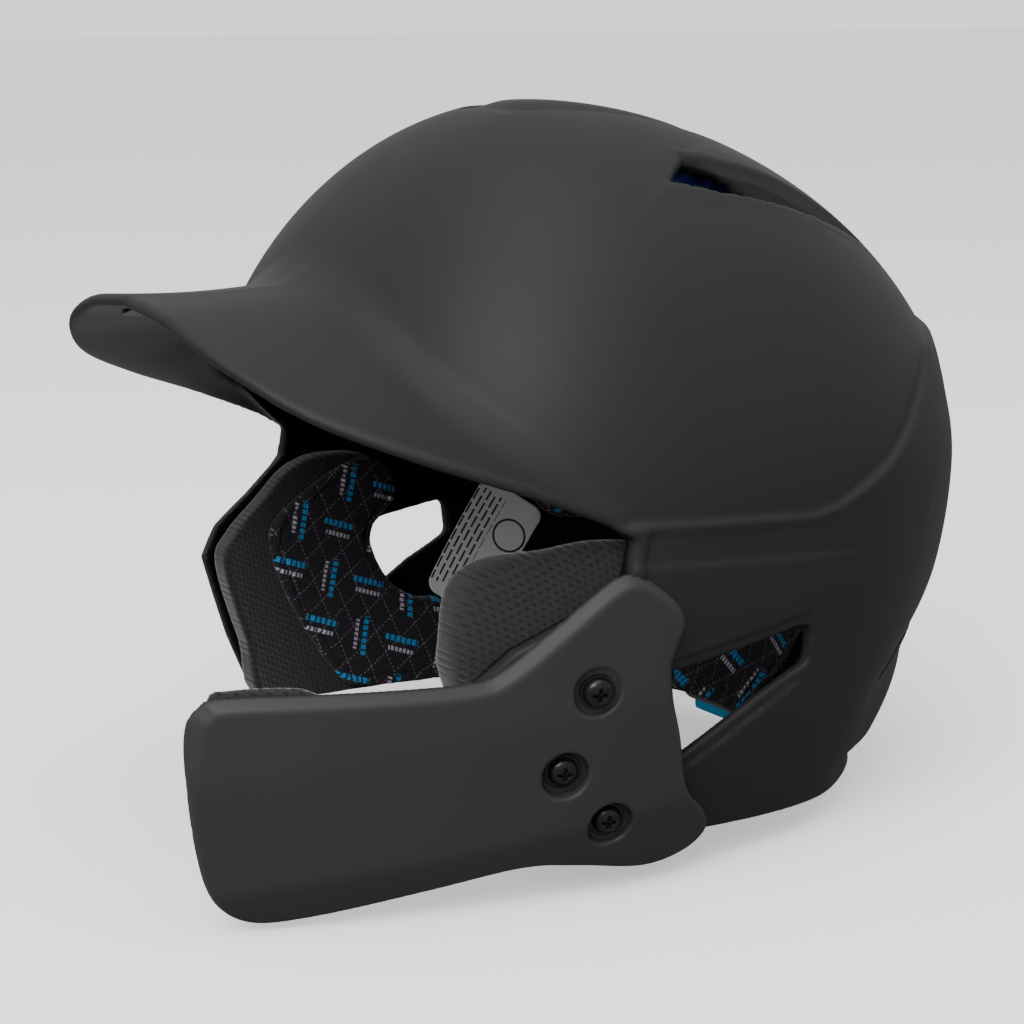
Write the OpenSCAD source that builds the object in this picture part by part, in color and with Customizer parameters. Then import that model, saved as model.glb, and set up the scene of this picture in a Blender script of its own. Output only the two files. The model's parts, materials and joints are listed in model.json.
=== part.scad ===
// Batting helmet: one-piece shell with brim and two ear flaps, a jaw guard bolted to the left flap,
// and a liner of separate foam pads. All sizes are in millimetres.
// Frame: the origin is the centre of the dome, on the symmetry plane. +Z is up, -Y is forward
// (the brim's side) and +X is the wearer's left, the side of the jaw guard.

/* [Dome] */
// Outside half width of the dome, at its widest level
dome_half_w = 101.4; // [100:0.1:103]
// Reach of the dome forward of the origin
dome_front = 87.9; // [86:0.1:90]
// Reach of the dome behind the origin
dome_rear = 132.9; // [130:0.1:136]
// Height of the crown above the origin
dome_height = 105.4; // [103:0.1:108]
// Squareness of the plan section (2 is an ellipse)
plan_round = 2.35; // [2.2:0.01:2.5]
// Squareness of the upright section (2 is an ellipse)
upright_round = 1.87; // [1.8:0.01:2]
// Wall thickness of the moulded shell
shell_t = 3.5; // [3:0.1:3.8]

/* [Skirt] */
// Depth below the origin at which the side walls would close
side_fall = 180; // [170:1:200]
// Depth below the origin at which the rear wall would close
rear_fall = 140; // [134:1:150]
// How far the cheeks stand forward of the dome's section
cheek_flare = 23; // [20:0.5:25]
// Drop over which the cheeks reach their flare
cheek_drop = 34; // [30:1:40]
// Height of the bottom rim at the origin's station
rim_z = -89.8; // [-91:0.1:-88]
// Fall of the rim for each millimetre rearward
rim_slope = 0.06; // [0.04:0.01:0.08]
// Outward kick of the rim at the nape
nape_kick = 4.5; // [0:0.5:5]
// Height by which the rear band stands proud of the dome
band_step = 2; // [1:0.1:2.5]

/* [Brim] */
// Thickness of the brim plate
brim_t = 4; // [3.5:0.1:4.5]
// Rise of the brim's upper face between dome and lip (negative is a dip)
brim_arch = -1.2; // [-2:0.1:1]

/* [Jaw guard] */
// Outer face's distance from the symmetry plane at the ear
guard_x = 104; // [103.5:0.1:105]
// How far the front end of the guard turns in towards the mouth
guard_turn = 42; // [38:1:44]
// Length of the guard over which it turns in
guard_len = 130; // [128:1:134]
// Wall thickness of the guard
guard_t = 4; // [3.5:0.1:4.5]
// Outward lean of the guard's upper zone, in degrees
guard_flare = 3; // [2.5:0.25:4]
// Inward lean of the guard's middle zone, in degrees
guard_lean = 8; // [6:0.5:9]
// Inward lean of the guard's lower zone, in degrees
guard_tuck = 26; // [22:1:28]
// Diameter of each screw recess
recess_d = 13; // [12:0.1:13.5]

/* [Fasteners] */
// Forward cant of the screw axes, in degrees
screw_cant = 16; // [14:0.5:18]
// Downward cant of the screw axes, in degrees
screw_dip = 12; // [10:0.5:14]
// Nominal thread diameter
thread_d = 4; // [3.9:0.05:4.1]
// Diameter of the pan head
head_d = 8.2; // [7.8:0.1:8.6]
// Height of the pan head
head_h = 2.7; // [2.4:0.1:3]
// Outside diameter of the captive washer
washer_d = 9.6; // [9:0.1:10.5]
// Thickness of the captive washer
washer_t = 1; // [0.8:0.1:1.2]

/* [Liner] */
// Gap between the shell's inside face and the pads
pad_gap = 0.6; // [0.3:0.1:1]
// Thickness of the mesh-covered foam bases
base_t = 9; // [7:0.5:10]
// Thickness of the printed comfort pads that lie on the bases
cover_t = 6; // [4:0.5:7]
// Thickness of the crown pads
crown_t = 10; // [8:0.5:12]

/* [Hidden] */
$fn = 48;
eps = 0.01;
skirt_depth = 106;
dome_sides = 64;
skirt_levels = 11;
crown_levels = 12;
wide = 400;
lip_w = 4.2;

// Lower edge of the brim's lip, from the middle of the forehead to the left temple, as [x, y, z]
lip_points = [
    [0, -126.6, 53.4], [24, -126.4, 50.5], [48, -122.2, 42.2], [70.5, -109.4, 31],
    [87.7, -87.5, 21], [96, -61, 11], [97.3, -31, -2]
];
// Angle round the plan section from the forehead to the temple, where the brim's root ends
root_sweep = 72.9;

// Front edge of the ear flaps in side view, as [y, z], from the temple down
cheek_edge = [
    [-31, 3], [-33.6, -11.3], [-48, -21.6], [-58.7, -29.2], [-65.4, -37.5],
    [-59.3, -63.5], [-53, -82.9], [-47, -112]
];
// Ear hole in side view
ear_hole = [[-24, -40.5], [28.4, -32.6], [28.8, -44.2], [14, -51.3], [-8.4, -64.2], [-21, -71.5]];
ear_corner_r = 3;
// Upper boundary of the raised rear band in side view
band_edge = [
    [-34, 2.5], [27, -0.8], [36, 0.5], [48, 5], [58, 9.2], [69, 16], [82, 26.2], [95, 35.2], [135, 46]
];
// Station of the band's front end below its upper strip, where the jaw guard covers it
band_start = -20;
band_strip_w = 9;
// Crown vents in plan, left side
crown_vent = [[54.5, 13], [46, 25], [44, 38], [44, 52], [49.5, 62], [54, 48], [56, 32], [56, 21]];
// Recessed crown panel in plan, left half
crown_panel = [[0, -26], [9, -20], [16.5, -9], [19.9, 8], [22.7, 28], [23.7, 40], [18, 66], [0, 78]];
panel_depth = 1.6;
// Slanted rear vents: middle, length, width and slope
rear_vent_at = [68, 92, -50];
rear_vent_len = 40;
rear_vent_w = 3;
rear_vent_slope = 69;

// Outline of the jaw guard in side view, as [y, z], clockwise from the top of its front end
guard_outline = [
    [-130.9, -36.2], [-101.4, -36.2], [-75, -35.6], [-66, -33], [-52, -22.2], [-38.5, -11.8],
    [-30.5, -10.4], [-19.8, -17.6], [-15.8, -24.6], [-18, -31.5], [-19.4, -38], [-17, -52],
    [-13, -71], [-5, -79.5], [-0.4, -86.8], [-5.2, -93.2], [-19, -96.2], [-40, -92.4],
    [-57, -89.4], [-80.5, -93.2], [-109, -98.4], [-123.6, -98.6], [-132.4, -91.4],
    [-136.6, -78], [-139.4, -58], [-139.6, -44.4], [-136.8, -38.6]
];
guard_front = -10;
// Screw positions on the guard's outer face, as [y, z]: upper, middle and lower
screw_at = [[-42.2, -40.3], [-49.2, -62.8], [-35, -78.9]];
floor_t = 3;
boss_r = 9.4;
skin_clear = 0.35;
flap_clear = 0.8;
cushion_t = 5.3;
shank_clear = 0.15;
nut_flange_r = 7;
nut_flange_t = 1.2;
nut_barrel_r = 3;
nut_fit = 0.05;
screw_tip = 1.2;
pocket_r = 8.2;
pocket_depth = 5;

charcoal = [0.11, 0.11, 0.12];
black = [0.05, 0.05, 0.055];
grey = [0.3, 0.3, 0.31];
dark_grey = [0.19, 0.19, 0.2];
violet_black = [0.12, 0.1, 0.15];
light_blue = [0.2, 0.72, 0.92];
blue = [0.05, 0.2, 0.75];
silver = [0.75, 0.76, 0.78];

// ---------------------------------------------------------------- curves and surfaces

function signed_pow(v, e) = sign(v) * pow(abs(v), e);
function ease(t) = let (c = min(1, max(0, t))) c * c * (3 - 2 * c);
function narrowing(z, depth) = pow(1 - pow(abs(z) / depth, upright_round), 1 / upright_round);

// Level of the dome's skin, from -1 at the bottom of the skirt through 0 to 1 at the crown
function level_of(z) =
    z < 0 ? z / skirt_depth : asin(pow(z / dome_height, upright_round / 2)) / 90;

// Reach of the rear wall below the origin, with the kick at the nape
function rear_reach(z, a) =
    dome_rear * narrowing(z, rear_fall)
    + nape_kick * ease((-z - 86) / 9) * pow(max(0, sin(a)), 6);

// Point of the shell's outer skin at plan angle a and level v, moved outwards by off
function skin(a, v, off = 0) =
    let (
        high = v > 0,
        rise = high ? pow(sin(90 * v), 2 / upright_round) : 0,
        shrink = high ? pow(cos(90 * v), 2 / upright_round) : 1,
        z = high ? (dome_height + off) * rise : v * skirt_depth,
        fall = high ? 1 : narrowing(z, side_fall),
        side = (dome_half_w * fall + off) * shrink,
        cheek = dome_front + cheek_flare * ease(-z / cheek_drop),
        front = (cheek * fall + off) * shrink,
        rear = high ? (dome_rear + off) * shrink : rear_reach(z, a) + off,
        reach = sin(a) < 0 ? front : rear
    )
    [side * signed_pow(cos(a), 2 / plan_round), reach * signed_pow(sin(a), 2 / plan_round), z];

// Two triangles between four corners given in order round the quad
function two_triangles(a, b, c, d) = [[a, b, c], [a, c, d]];
function flatten(lists) = [for (l = lists) each l];

// Catmull-Rom point between p1 and p2
function spline_point(p0, p1, p2, p3, t) =
    0.5 * (2 * p1 + (p2 - p0) * t + (2 * p0 - 5 * p1 + 4 * p2 - p3) * t * t
    + (3 * p1 - p0 - 3 * p2 + p3) * t * t * t);

// Closed smooth outline through a list of points
function smooth_loop(pts, steps = 3) =
    let (n = len(pts))
    [for (i = [0:n - 1], k = [0:steps - 1])
        spline_point(pts[(i + n - 1) % n], pts[i], pts[(i + 1) % n], pts[(i + 2) % n], k / steps)];

// Lip of the brim at u, from -1 at the right temple through 0 to 1 at the left temple
function lip(u) =
    let (
        n = len(lip_points) - 1,
        s = min(n - eps, abs(u) * n),
        i = floor(s),
        mirrored = [-lip_points[1].x, lip_points[1].y, lip_points[1].z],
        p0 = i == 0 ? mirrored : lip_points[i - 1],
        p3 = i == n - 1 ? 2 * lip_points[n] - lip_points[n - 1] : lip_points[i + 2],
        p = spline_point(p0, lip_points[i], lip_points[i + 1], p3, s - i)
    )
    [sign(u) * p.x, p.y, p.z];

// Point of the brim's root, inside the dome's wall, level with the top of the lip
function root(u, inset) =
    skin(-90 + root_sweep * u, level_of(max(0.5, lip(u).z + lip_w)), -inset);

// ---------------------------------------------------------------- surface solids

// Closed solid bounded by the skin moved outwards by off
module dome_solid(off) {
    n = dome_sides;
    levels = concat(
        [for (j = [0:skirt_levels - 1]) -1 + j / skirt_levels],
        [for (j = [0:crown_levels - 1]) j / crown_levels]
    );
    m = len(levels);
    points = concat(
        flatten([for (v = levels) [for (i = [0:n - 1]) skin(i * 360 / n, v, off)]]),
        [[0, 0, dome_height + off], [0, 0, -skirt_depth]]
    );
    walls = flatten([for (j = [0:m - 2], i = [0:n - 1])
        two_triangles(j * n + i, j * n + n + i, j * n + n + (i + 1) % n, j * n + (i + 1) % n)]);
    top = [for (i = [0:n - 1]) [(m - 1) * n + i, m * n, (m - 1) * n + (i + 1) % n]];
    bottom = [for (i = [0:n - 1]) [i, (i + 1) % n, m * n + 1]];
    polyhedron(points, concat(walls, top, bottom));
}

// Closed slab between two grids of points that share their layout. Seen from the outer side,
// rows run upwards and columns run to the right.
module slab(outer, inner) {
    rows = len(outer);
    cols = len(outer[0]);
    count = rows * cols;
    function at(j, i) = j * cols + i;
    faces = flatten([for (j = [0:rows - 2], i = [0:cols - 2]) concat(
        two_triangles(at(j, i), at(j + 1, i), at(j + 1, i + 1), at(j, i + 1)),
        two_triangles(count + at(j, i), count + at(j, i + 1), count + at(j + 1, i + 1),
            count + at(j + 1, i))
    )]);
    ends = flatten([for (j = [0:rows - 2]) concat(
        two_triangles(at(j, 0), count + at(j, 0), count + at(j + 1, 0), at(j + 1, 0)),
        two_triangles(at(j, cols - 1), at(j + 1, cols - 1), count + at(j + 1, cols - 1),
            count + at(j, cols - 1))
    )]);
    sides = flatten([for (i = [0:cols - 2]) concat(
        two_triangles(at(0, i), at(0, i + 1), count + at(0, i + 1), count + at(0, i)),
        two_triangles(at(rows - 1, i), count + at(rows - 1, i), count + at(rows - 1, i + 1),
            at(rows - 1, i + 1))
    )]);
    polyhedron(concat(flatten(outer), flatten(inner)), concat(faces, ends, sides));
}

// Curved block that follows the skin, from plan angle a0 to a1 and height z0 to z1,
// with its outer face at off and its inner face t further in
module skin_block(a0, a1, z0, z1, off, t, cols, rows) {
    v0 = level_of(z0);
    v1 = level_of(z1);
    function face(o) = [for (j = [0:rows]) [for (i = [0:cols])
        skin(a0 + (a1 - a0) * i / cols, v0 + (v1 - v0) * j / rows, o)]];
    slab(face(off), face(off - t));
}

// Prism along X of a side-view outline, between two X stations
module side_prism(outline, x0 = -wide / 2, x1 = wide / 2) {
    translate([x0, 0, 0])
        rotate([90, 0, 90])
            linear_extrude(x1 - x0)
                polygon(outline);
}

// Prism along Z of a plan outline
module plan_prism(outline, z0, z1) {
    translate([0, 0, z0])
        linear_extrude(z1 - z0)
            polygon(outline);
}

// ---------------------------------------------------------------- shell

// Everything below the brow and in front of the ear flaps
module face_opening() {
    brow_steps = 10;
    brow = [for (k = [brow_steps:-1:0])
        let (p = root(k / brow_steps, 0)) [p.y, p.z - brim_t / 2]];
    front = -wide / 2;
    side_prism(concat([[front, -wide / 2]], [[-47, -wide / 2]],
        [for (i = [len(cheek_edge) - 1:-1:1]) cheek_edge[i]], brow,
        [[front, brow[brow_steps].y]]));
}

// Everything below the tilted rim plane
module rim_cut() {
    y_far = 200;
    side_prism([
        [-y_far, rim_z + rim_slope * y_far], [y_far, rim_z - rim_slope * y_far],
        [y_far, -wide / 2], [-y_far, -wide / 2]
    ]);
}

// The ear hole's outline with rounded corners, through both flaps
module ear_holes() {
    translate([-wide / 2, 0, 0])
        rotate([90, 0, 90])
            linear_extrude(wide)
                offset(r = ear_corner_r, $fn = 24)
                    offset(delta = -ear_corner_r)
                        polygon(ear_hole);
}

// One slanted slot through the wall behind the ear
module rear_vent() {
    translate(rear_vent_at)
        rotate([0, 0, 45])
            rotate([rear_vent_slope, 0, 0])
                cube([40, rear_vent_w, rear_vent_len], center = true);
}

module both_sides() {
    children();
    mirror([1, 0, 0]) children();
}

module vents() {
    both_sides() {
        plan_prism(crown_vent, 40, 130);
        rear_vent();
    }
}

// Raised band round the back, below its rising upper edge
module rear_band() {
    intersection() {
        skin_block(-24, 204, -skirt_depth + 1, 66, band_step, band_step + shell_t / 2, 44, 14);
        side_prism(concat(band_edge, [
            [200, 50], [200, -120], [band_start, -120],
            [band_start, band_edge[0].y - band_strip_w],
            [band_edge[0].x, band_edge[0].y - band_strip_w]
        ]));
    }
}

// Shallow recess that narrows towards the forehead
module crown_recess() {
    mirrored = [for (i = [len(crown_panel) - 2:-1:1]) [-crown_panel[i].x, crown_panel[i].y]];
    panel = concat(crown_panel, mirrored);
    intersection() {
        plan_prism(panel, 60, 130);
        slab(crown_grid(8), crown_grid(-panel_depth));
    }
}

// Grid of skin points over the crown, on plan stations
function crown_height(x, y, off) =
    let (
        reach = (y < 0 ? dome_front : dome_rear) + off,
        r = pow(pow(abs(x) / (dome_half_w + off), plan_round)
            + pow(abs(y) / reach, plan_round), 1 / plan_round)
    )
    (dome_height + off) * pow(1 - pow(r, upright_round), 1 / upright_round);
function crown_grid(off) =
    [for (j = [0:8]) [for (i = [0:6])
        let (x = -33 + 11 * i, y = -30 + 14 * j) [x, y, crown_height(x, y, off)]]];

// Brim plate from inside the dome's wall out to the lip
module brim() {
    spans = 36;
    rings = 5;
    inset = shell_t - 0.5;
    function edge_u(i) = -1 + 2 * i / spans;
    function top_at(u, t) =
        let (a = root(u, inset), b = lip(u) + [0, 0, lip_w], width = norm(b - a))
        a + (b - a) * t + [0, 0, brim_arch * sin(180 * t) * ease(width / 40)];
    function thickness(t) = brim_t + (lip_w - brim_t) * t;
    function face(drop) = [for (j = [rings:-1:0]) [for (i = [0:spans])
        let (t = j / rings) top_at(edge_u(i), t) - [0, 0, drop * thickness(t)]]];
    slab(face(0), face(1));
}

module outer_shell() {
    color(charcoal) difference() {
        union() {
            difference() {
                union() {
                    dome_solid(0);
                    rear_band();
                }
                dome_solid(-shell_t);
                face_opening();
                crown_recess();
            }
            brim();
        }
        rim_cut();
        ear_holes();
        vents();
        for (i = [0:2])
            on_screw(i) cylinder(r = nut_barrel_r + nut_fit, h = 30, center = true);
    }
}

// ---------------------------------------------------------------- jaw guard

// Folds of the guard's outer face, as heights at station y
function upper_fold(y) = -39.5 + 0.14 * y;
function lower_fold(y) = -73 + 0.13 * y;

// Outer face of the guard: distance from the symmetry plane at [y, z]
function guard_face(y, z) =
    guard_x - guard_turn * pow(max(0, guard_front - y) / guard_len, 1.6)
    + tan(guard_flare) * max(0, z - upper_fold(y))
    - tan(guard_lean) * max(0, upper_fold(y) - z)
    - (tan(guard_tuck) - tan(guard_lean)) * max(0, lower_fold(y) - z);

// Heights of the guard's grid rows at station y: one row lies on each fold
function guard_rows(y) = [-108, (lower_fold(y) - 108) / 2, lower_fold(y),
    (lower_fold(y) + upper_fold(y)) / 2, upper_fold(y), (upper_fold(y) - 4) / 2, -4];

// Distance of the flap's outer skin from the symmetry plane at [y, z], with the raised band
function flap_face(y, z) =
    let (
        fall = narrowing(z, side_fall),
        cheek = (dome_front + cheek_flare * ease(-z / cheek_drop)) * fall,
        section = max(0, 1 - pow(abs(y) / cheek, plan_round))
    )
    dome_half_w * fall * pow(section, 1 / plan_round) + band_step * ease((y - band_start + 10) / 8);

// Inner face of the guard: parallel to its outer face, or thinned where it would touch the flap
function guard_back(y, z) = max(guard_face(y, z) - guard_t, flap_face(y, z) + flap_clear);

// Grid of points on the guard's stations and rows, from a rule for its distance at [y, z]
guard_stations = [for (k = [0:22]) -148 + 7 * k];
function guard_sheet(distance) = [for (row = [0:6]) [for (y = guard_stations)
    let (z = guard_rows(y)[row]) [distance(y, z), y, z]]];

// Direction of the screw axes, pointing out of the helmet
screw_dir = [
    cos(screw_cant) * cos(screw_dip), -sin(screw_cant) * cos(screw_dip), -sin(screw_dip)
];

// Point where screw i's axis meets the guard's outer face
function screw_face(i) =
    [guard_face(screw_at[i].x, screw_at[i].y), screw_at[i].x, screw_at[i].y];

// Signed measure of how far a point is outside the skin (negative inside)
function outside(p) =
    let (
        fall = narrowing(p.z, side_fall),
        cheek = (dome_front + cheek_flare * ease(-p.z / cheek_drop)) * fall
    )
    pow(abs(p.x) / (dome_half_w * fall), plan_round) + pow(abs(p.y) / cheek, plan_round) - 1;

// Distance along screw i's axis from the guard's face in to the flap's outer skin
function skin_depth(i, lo = 0, hi = 25, steps = 20) =
    steps == 0 ? (lo + hi) / 2
    : outside(screw_face(i) - screw_dir * (lo + hi) / 2) > 0
        ? skin_depth(i, (lo + hi) / 2, hi, steps - 1)
        : skin_depth(i, lo, (lo + hi) / 2, steps - 1);

// Bosses stop short of the flap by the drop of its curved skin across the boss
boss_sag = 1.3;
function boss_end(i) = skin_depth(i) - skin_clear - boss_sag;
function seat_depth(i) = boss_end(i) - floor_t;

// Frame of screw i: the origin on the guard's outer face, +Z pointing out along the axis
module on_screw(i) {
    translate(screw_face(i))
        rotate([0, 90 + screw_dip, -screw_cant])
            children();
}

// Bosses that carry the screw seats, trimmed to the guard's outer face
module guard_bosses() {
    difference() {
        for (i = [0:2])
            on_screw(i)
                translate([0, 0, -boss_end(i)])
                    cylinder(r = boss_r, h = boss_end(i) + 6);
        slab(
            guard_sheet(function(y, z) guard_face(y, z) + 30),
            guard_sheet(function(y, z) guard_face(y, z) - 0.5)
        );
    }
}

module jaw_guard() {
    color(charcoal) difference() {
        intersection() {
            union() {
                slab(
                    guard_sheet(function(y, z) guard_face(y, z)),
                    guard_sheet(function(y, z) guard_back(y, z))
                );
                guard_bosses();
            }
            side_prism(smooth_loop(guard_outline), 0, wide / 2);
        }
        for (i = [0:2])
            on_screw(i) {
                translate([0, 0, -seat_depth(i)]) cylinder(d = recess_d, h = 30);
                cylinder(d = thread_d + 2 * shank_clear, h = 60, center = true);
            }
    }
}

// Soft facing inside the guard's upper front
module guard_cushion() {
    cushion = [[-132, -42], [-80, -41], [-74, -52], [-78, -72], [-126, -76], [-134, -62]];
    color(dark_grey) intersection() {
        slab(
            guard_sheet(function(y, z) guard_face(y, z) - guard_t - 0.3),
            guard_sheet(function(y, z) guard_face(y, z) - guard_t - cushion_t)
        );
        side_prism(smooth_loop(cushion), 0, wide / 2);
    }
}

// ---------------------------------------------------------------- fasteners

// Length of screw i's shank, from under its head to its tip
function shank_len(i) = washer_t + floor_t + skin_clear + boss_sag + shell_t
    + nut_flange_t + screw_tip;

// Cross recess of the pan head
module cross_recess() {
    for (turn = [0, 90])
        rotate([0, 0, turn])
            translate([-2.1, -0.5, 0])
                cube([4.2, 1, 3]);
}

module guard_screw(i) {
    color(black) on_screw(i)
        translate([0, 0, -seat_depth(i) + washer_t]) {
            difference() {
                intersection() {
                    cylinder(d = head_d, h = head_h);
                    translate([0, 0, head_h - 5.6]) sphere(r = 5.6);
                }
                translate([0, 0, 1.1]) cross_recess();
            }
            translate([0, 0, -shank_len(i)])
                cylinder(d = thread_d, h = shank_len(i) + 0.5);
        }
}

module screw_washer(i) {
    color(black) on_screw(i)
        translate([0, 0, -seat_depth(i)])
            difference() {
                cylinder(d = washer_d, h = washer_t);
                translate([0, 0, -1]) cylinder(d = thread_d + 2 * nut_fit, h = washer_t + 2);
            }
}

// Tee nuts pressed into the flap from inside: flange inside, barrel through the wall
module guard_tee_nuts() {
    color(silver) for (i = [0:2])
        on_screw(i)
            translate([0, 0, -skin_depth(i)])
                difference() {
                    union() {
                        translate([0, 0, -shell_t - boss_sag - nut_flange_t])
                            cylinder(r = nut_flange_r, h = nut_flange_t);
                        translate([0, 0, -shell_t - boss_sag - eps])
                            cylinder(r = nut_barrel_r, h = shell_t + boss_sag - 0.5);
                    }
                    cylinder(d = thread_d + 2 * nut_fit, h = 40, center = true);
                }
}

// ---------------------------------------------------------------- liner

pad_face = -shell_t - pad_gap;

// Left ear pad base in side view: a fat roll that reaches ahead of the flap
left_ear_base = [
    [-31, -3], [-49, -6], [-60, -11], [-67, -20], [-70, -32], [-68, -43], [-60, -62], [-51, -84],
    [8, -87], [16, -72], [-4, -74], [-25, -76], [-31, -58], [-28, -36], [-4, -31], [0, -10]
];
// Right ear pad base: its front follows the edge of the flap
right_ear_base = [
    [-20, -11], [-34, -14], [-46, -22.5], [-59, -31], [-65, -39], [-59, -64], [-52.5, -83],
    [13, -87], [17, -74], [15, -64], [4, -60], [-5, -53], [-10, -44], [-9, -35], [-1, -27], [-2, -14]
];
// Printed covers of the ear pads, each a C that opens to the rear
left_ear_cover = [
    [-14, -13], [-38, -15], [-47, -22], [-48, -34], [-42, -54], [-32, -80], [-8, -85], [10, -84],
    [13, -70], [-12, -73], [-27, -64], [-30, -46], [-24, -35], [-4, -28], [0, -20]
];
right_ear_cover = [
    [-10, -12.5], [-33, -21.5], [-46, -31], [-44, -47], [-35, -66], [-26, -80], [-18, -84.5],
    [13, -86], [18, -74], [17, -62], [7, -59.5], [-1, -54], [-6.5, -43.5], [-6, -35.5], [3, -26.5],
    [1, -17]
];

// Pockets in a pad's back for the tee nuts
module nut_pockets() {
    for (i = [0:2])
        on_screw(i)
            translate([0, 0, -skin_depth(i) - shell_t - pocket_depth])
                cylinder(r = pocket_r, h = 20);
}

module ear_pad_base(outline) {
    intersection() {
        skin_block(-52, 16, -88, -2, pad_face, base_t, 16, 9);
        side_prism(smooth_loop(outline, 2), 0, wide / 2);
    }
}

module ear_pad_cover(outline) {
    intersection() {
        skin_block(-46, 16, -87, -8, pad_face - base_t - 0.3, cover_t, 16, 9);
        side_prism(smooth_loop(outline, 2), 0, wide / 2);
    }
}

module left_ear_pad_base() {
    color(grey) difference() {
        ear_pad_base(left_ear_base);
        nut_pockets();
    }
}
module left_ear_pad_cover() { color(violet_black) ear_pad_cover(left_ear_cover); }
module right_ear_pad_base() { color(grey) mirror([1, 0, 0]) ear_pad_base(right_ear_base); }
module right_ear_pad_cover() {
    color(violet_black) mirror([1, 0, 0]) ear_pad_cover(right_ear_cover);
}

module front_pad_base() {
    color(blue) skin_block(-130, -50, 60, 84, pad_face, base_t - 2, 14, 5);
}

module front_pad_cover() {
    color(violet_black) skin_block(-128, -52, 62, 82, pad_face - base_t + 1.7, cover_t - 1, 14, 5);
}

module side_pad() {
    skin_block(28, 52, -40, 26, pad_face, base_t + cover_t - 3, 8, 7);
}
module left_side_pad() { color(violet_black) side_pad(); }
module right_side_pad() { color(violet_black) mirror([1, 0, 0]) side_pad(); }

// Pad on the crown, on plan stations
module crown_pad(y0, y1, half_w) {
    cols = 8;
    function face(off) = [for (j = [0:cols]) [for (i = [0:cols])
        let (x = half_w * (2 * i / cols - 1), y = y0 + (y1 - y0) * j / cols)
        [x, y, crown_height(x, y, off)]]];
    slab(face(pad_face), face(pad_face - crown_t));
}
module crown_front_pad() { color(blue) crown_pad(-32, 18, 32); }
module crown_rear_pad() { color(blue) crown_pad(24, 78, 34); }

// Half of the nape pad's outline seen from behind, as [x, z], from its top down
nape_half = [[46, -34], [34, -62], [14, -90], [10, -100]];

// One layer of the nape pad, tapering towards the rim: depth from the shell, thickness, lower edge
module nape_layer(depth, t, bottom) {
    mirrored = [for (i = [len(nape_half) - 1:-1:0]) [-nape_half[i].x, nape_half[i].y]];
    intersection() {
        skin_block(52, 128, bottom, -34, pad_face - depth, t, 14, 8);
        rotate([90, 0, 180]) linear_extrude(wide / 2) polygon(concat(nape_half, mirrored));
    }
}
nape_layers = [12, 4, 3, 4.5];
nape_bottoms = [-88, -87.8, -87.3, -86.4];
layer_gap = 0.15;
function nape_depth(k) = k == 0 ? 0 : nape_depth(k - 1) + nape_layers[k - 1] + layer_gap;

module nape_pad_backing() { color(black) nape_layer(nape_depth(0), nape_layers[0], nape_bottoms[0]); }
module nape_pad_foam() { color(light_blue) nape_layer(nape_depth(1), nape_layers[1], nape_bottoms[1]); }
module nape_pad_middle() { color(grey) nape_layer(nape_depth(2), nape_layers[2], nape_bottoms[2]); }
module nape_pad_cover() { color(violet_black) nape_layer(nape_depth(3), nape_layers[3], nape_bottoms[3]); }

// ---------------------------------------------------------------- labels

label_t = 0.4;

// Blank fitting label inside the right wall
module fitting_label() {
    label = [[42, -27], [47, -28], [62, -38], [62, -43], [41, -71], [36, -72], [21, -61], [21, -56]];
    color(silver) intersection() {
        skin_block(150, 176, -75, -24, -shell_t - 0.35, label_t, 12, 10);
        side_prism(label, -wide / 2, 0);
    }
}

// Blank label under the brim
module brim_label() {
    cols = 8;
    function under(i, j, drop) =
        let (
            u = -0.22 + 0.44 * i / cols,
            t = 0.55 + 0.3 * j / 2,
            a = root(u, shell_t - 0.5),
            b = lip(u) + [0, 0, lip_w],
            p = a + (b - a) * t
        )
        [p.x, p.y, p.z + brim_arch * sin(180 * t) - lip_w - drop];
    function face(drop) = [for (j = [2:-1:0]) [for (i = [0:cols]) under(i, j, drop)]];
    color(silver) slab(face(0.5), face(0.5 + label_t));
}

// ---------------------------------------------------------------- nodes

outer_shell();
jaw_guard();
guard_cushion();
guard_screw(0);  // upper_guard_screw
guard_screw(1);  // middle_guard_screw
guard_screw(2);  // lower_guard_screw
screw_washer(0);  // upper_screw_washer
screw_washer(1);  // middle_screw_washer
screw_washer(2);  // lower_screw_washer
guard_tee_nuts();
left_ear_pad_base();
left_ear_pad_cover();
right_ear_pad_base();
right_ear_pad_cover();
front_pad_base();
front_pad_cover();
left_side_pad();
right_side_pad();
crown_front_pad();
crown_rear_pad();
nape_pad_backing();
nape_pad_foam();
nape_pad_middle();
nape_pad_cover();
fitting_label();
brim_label();
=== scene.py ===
"""Looks of the batting helmet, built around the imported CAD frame.

The shell, jaw guard and pads are solids described by distance fields in the frame's millimetres.
Each field is sampled, meshed and its points are drawn onto the exact surface.
"""

import json
import math

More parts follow.
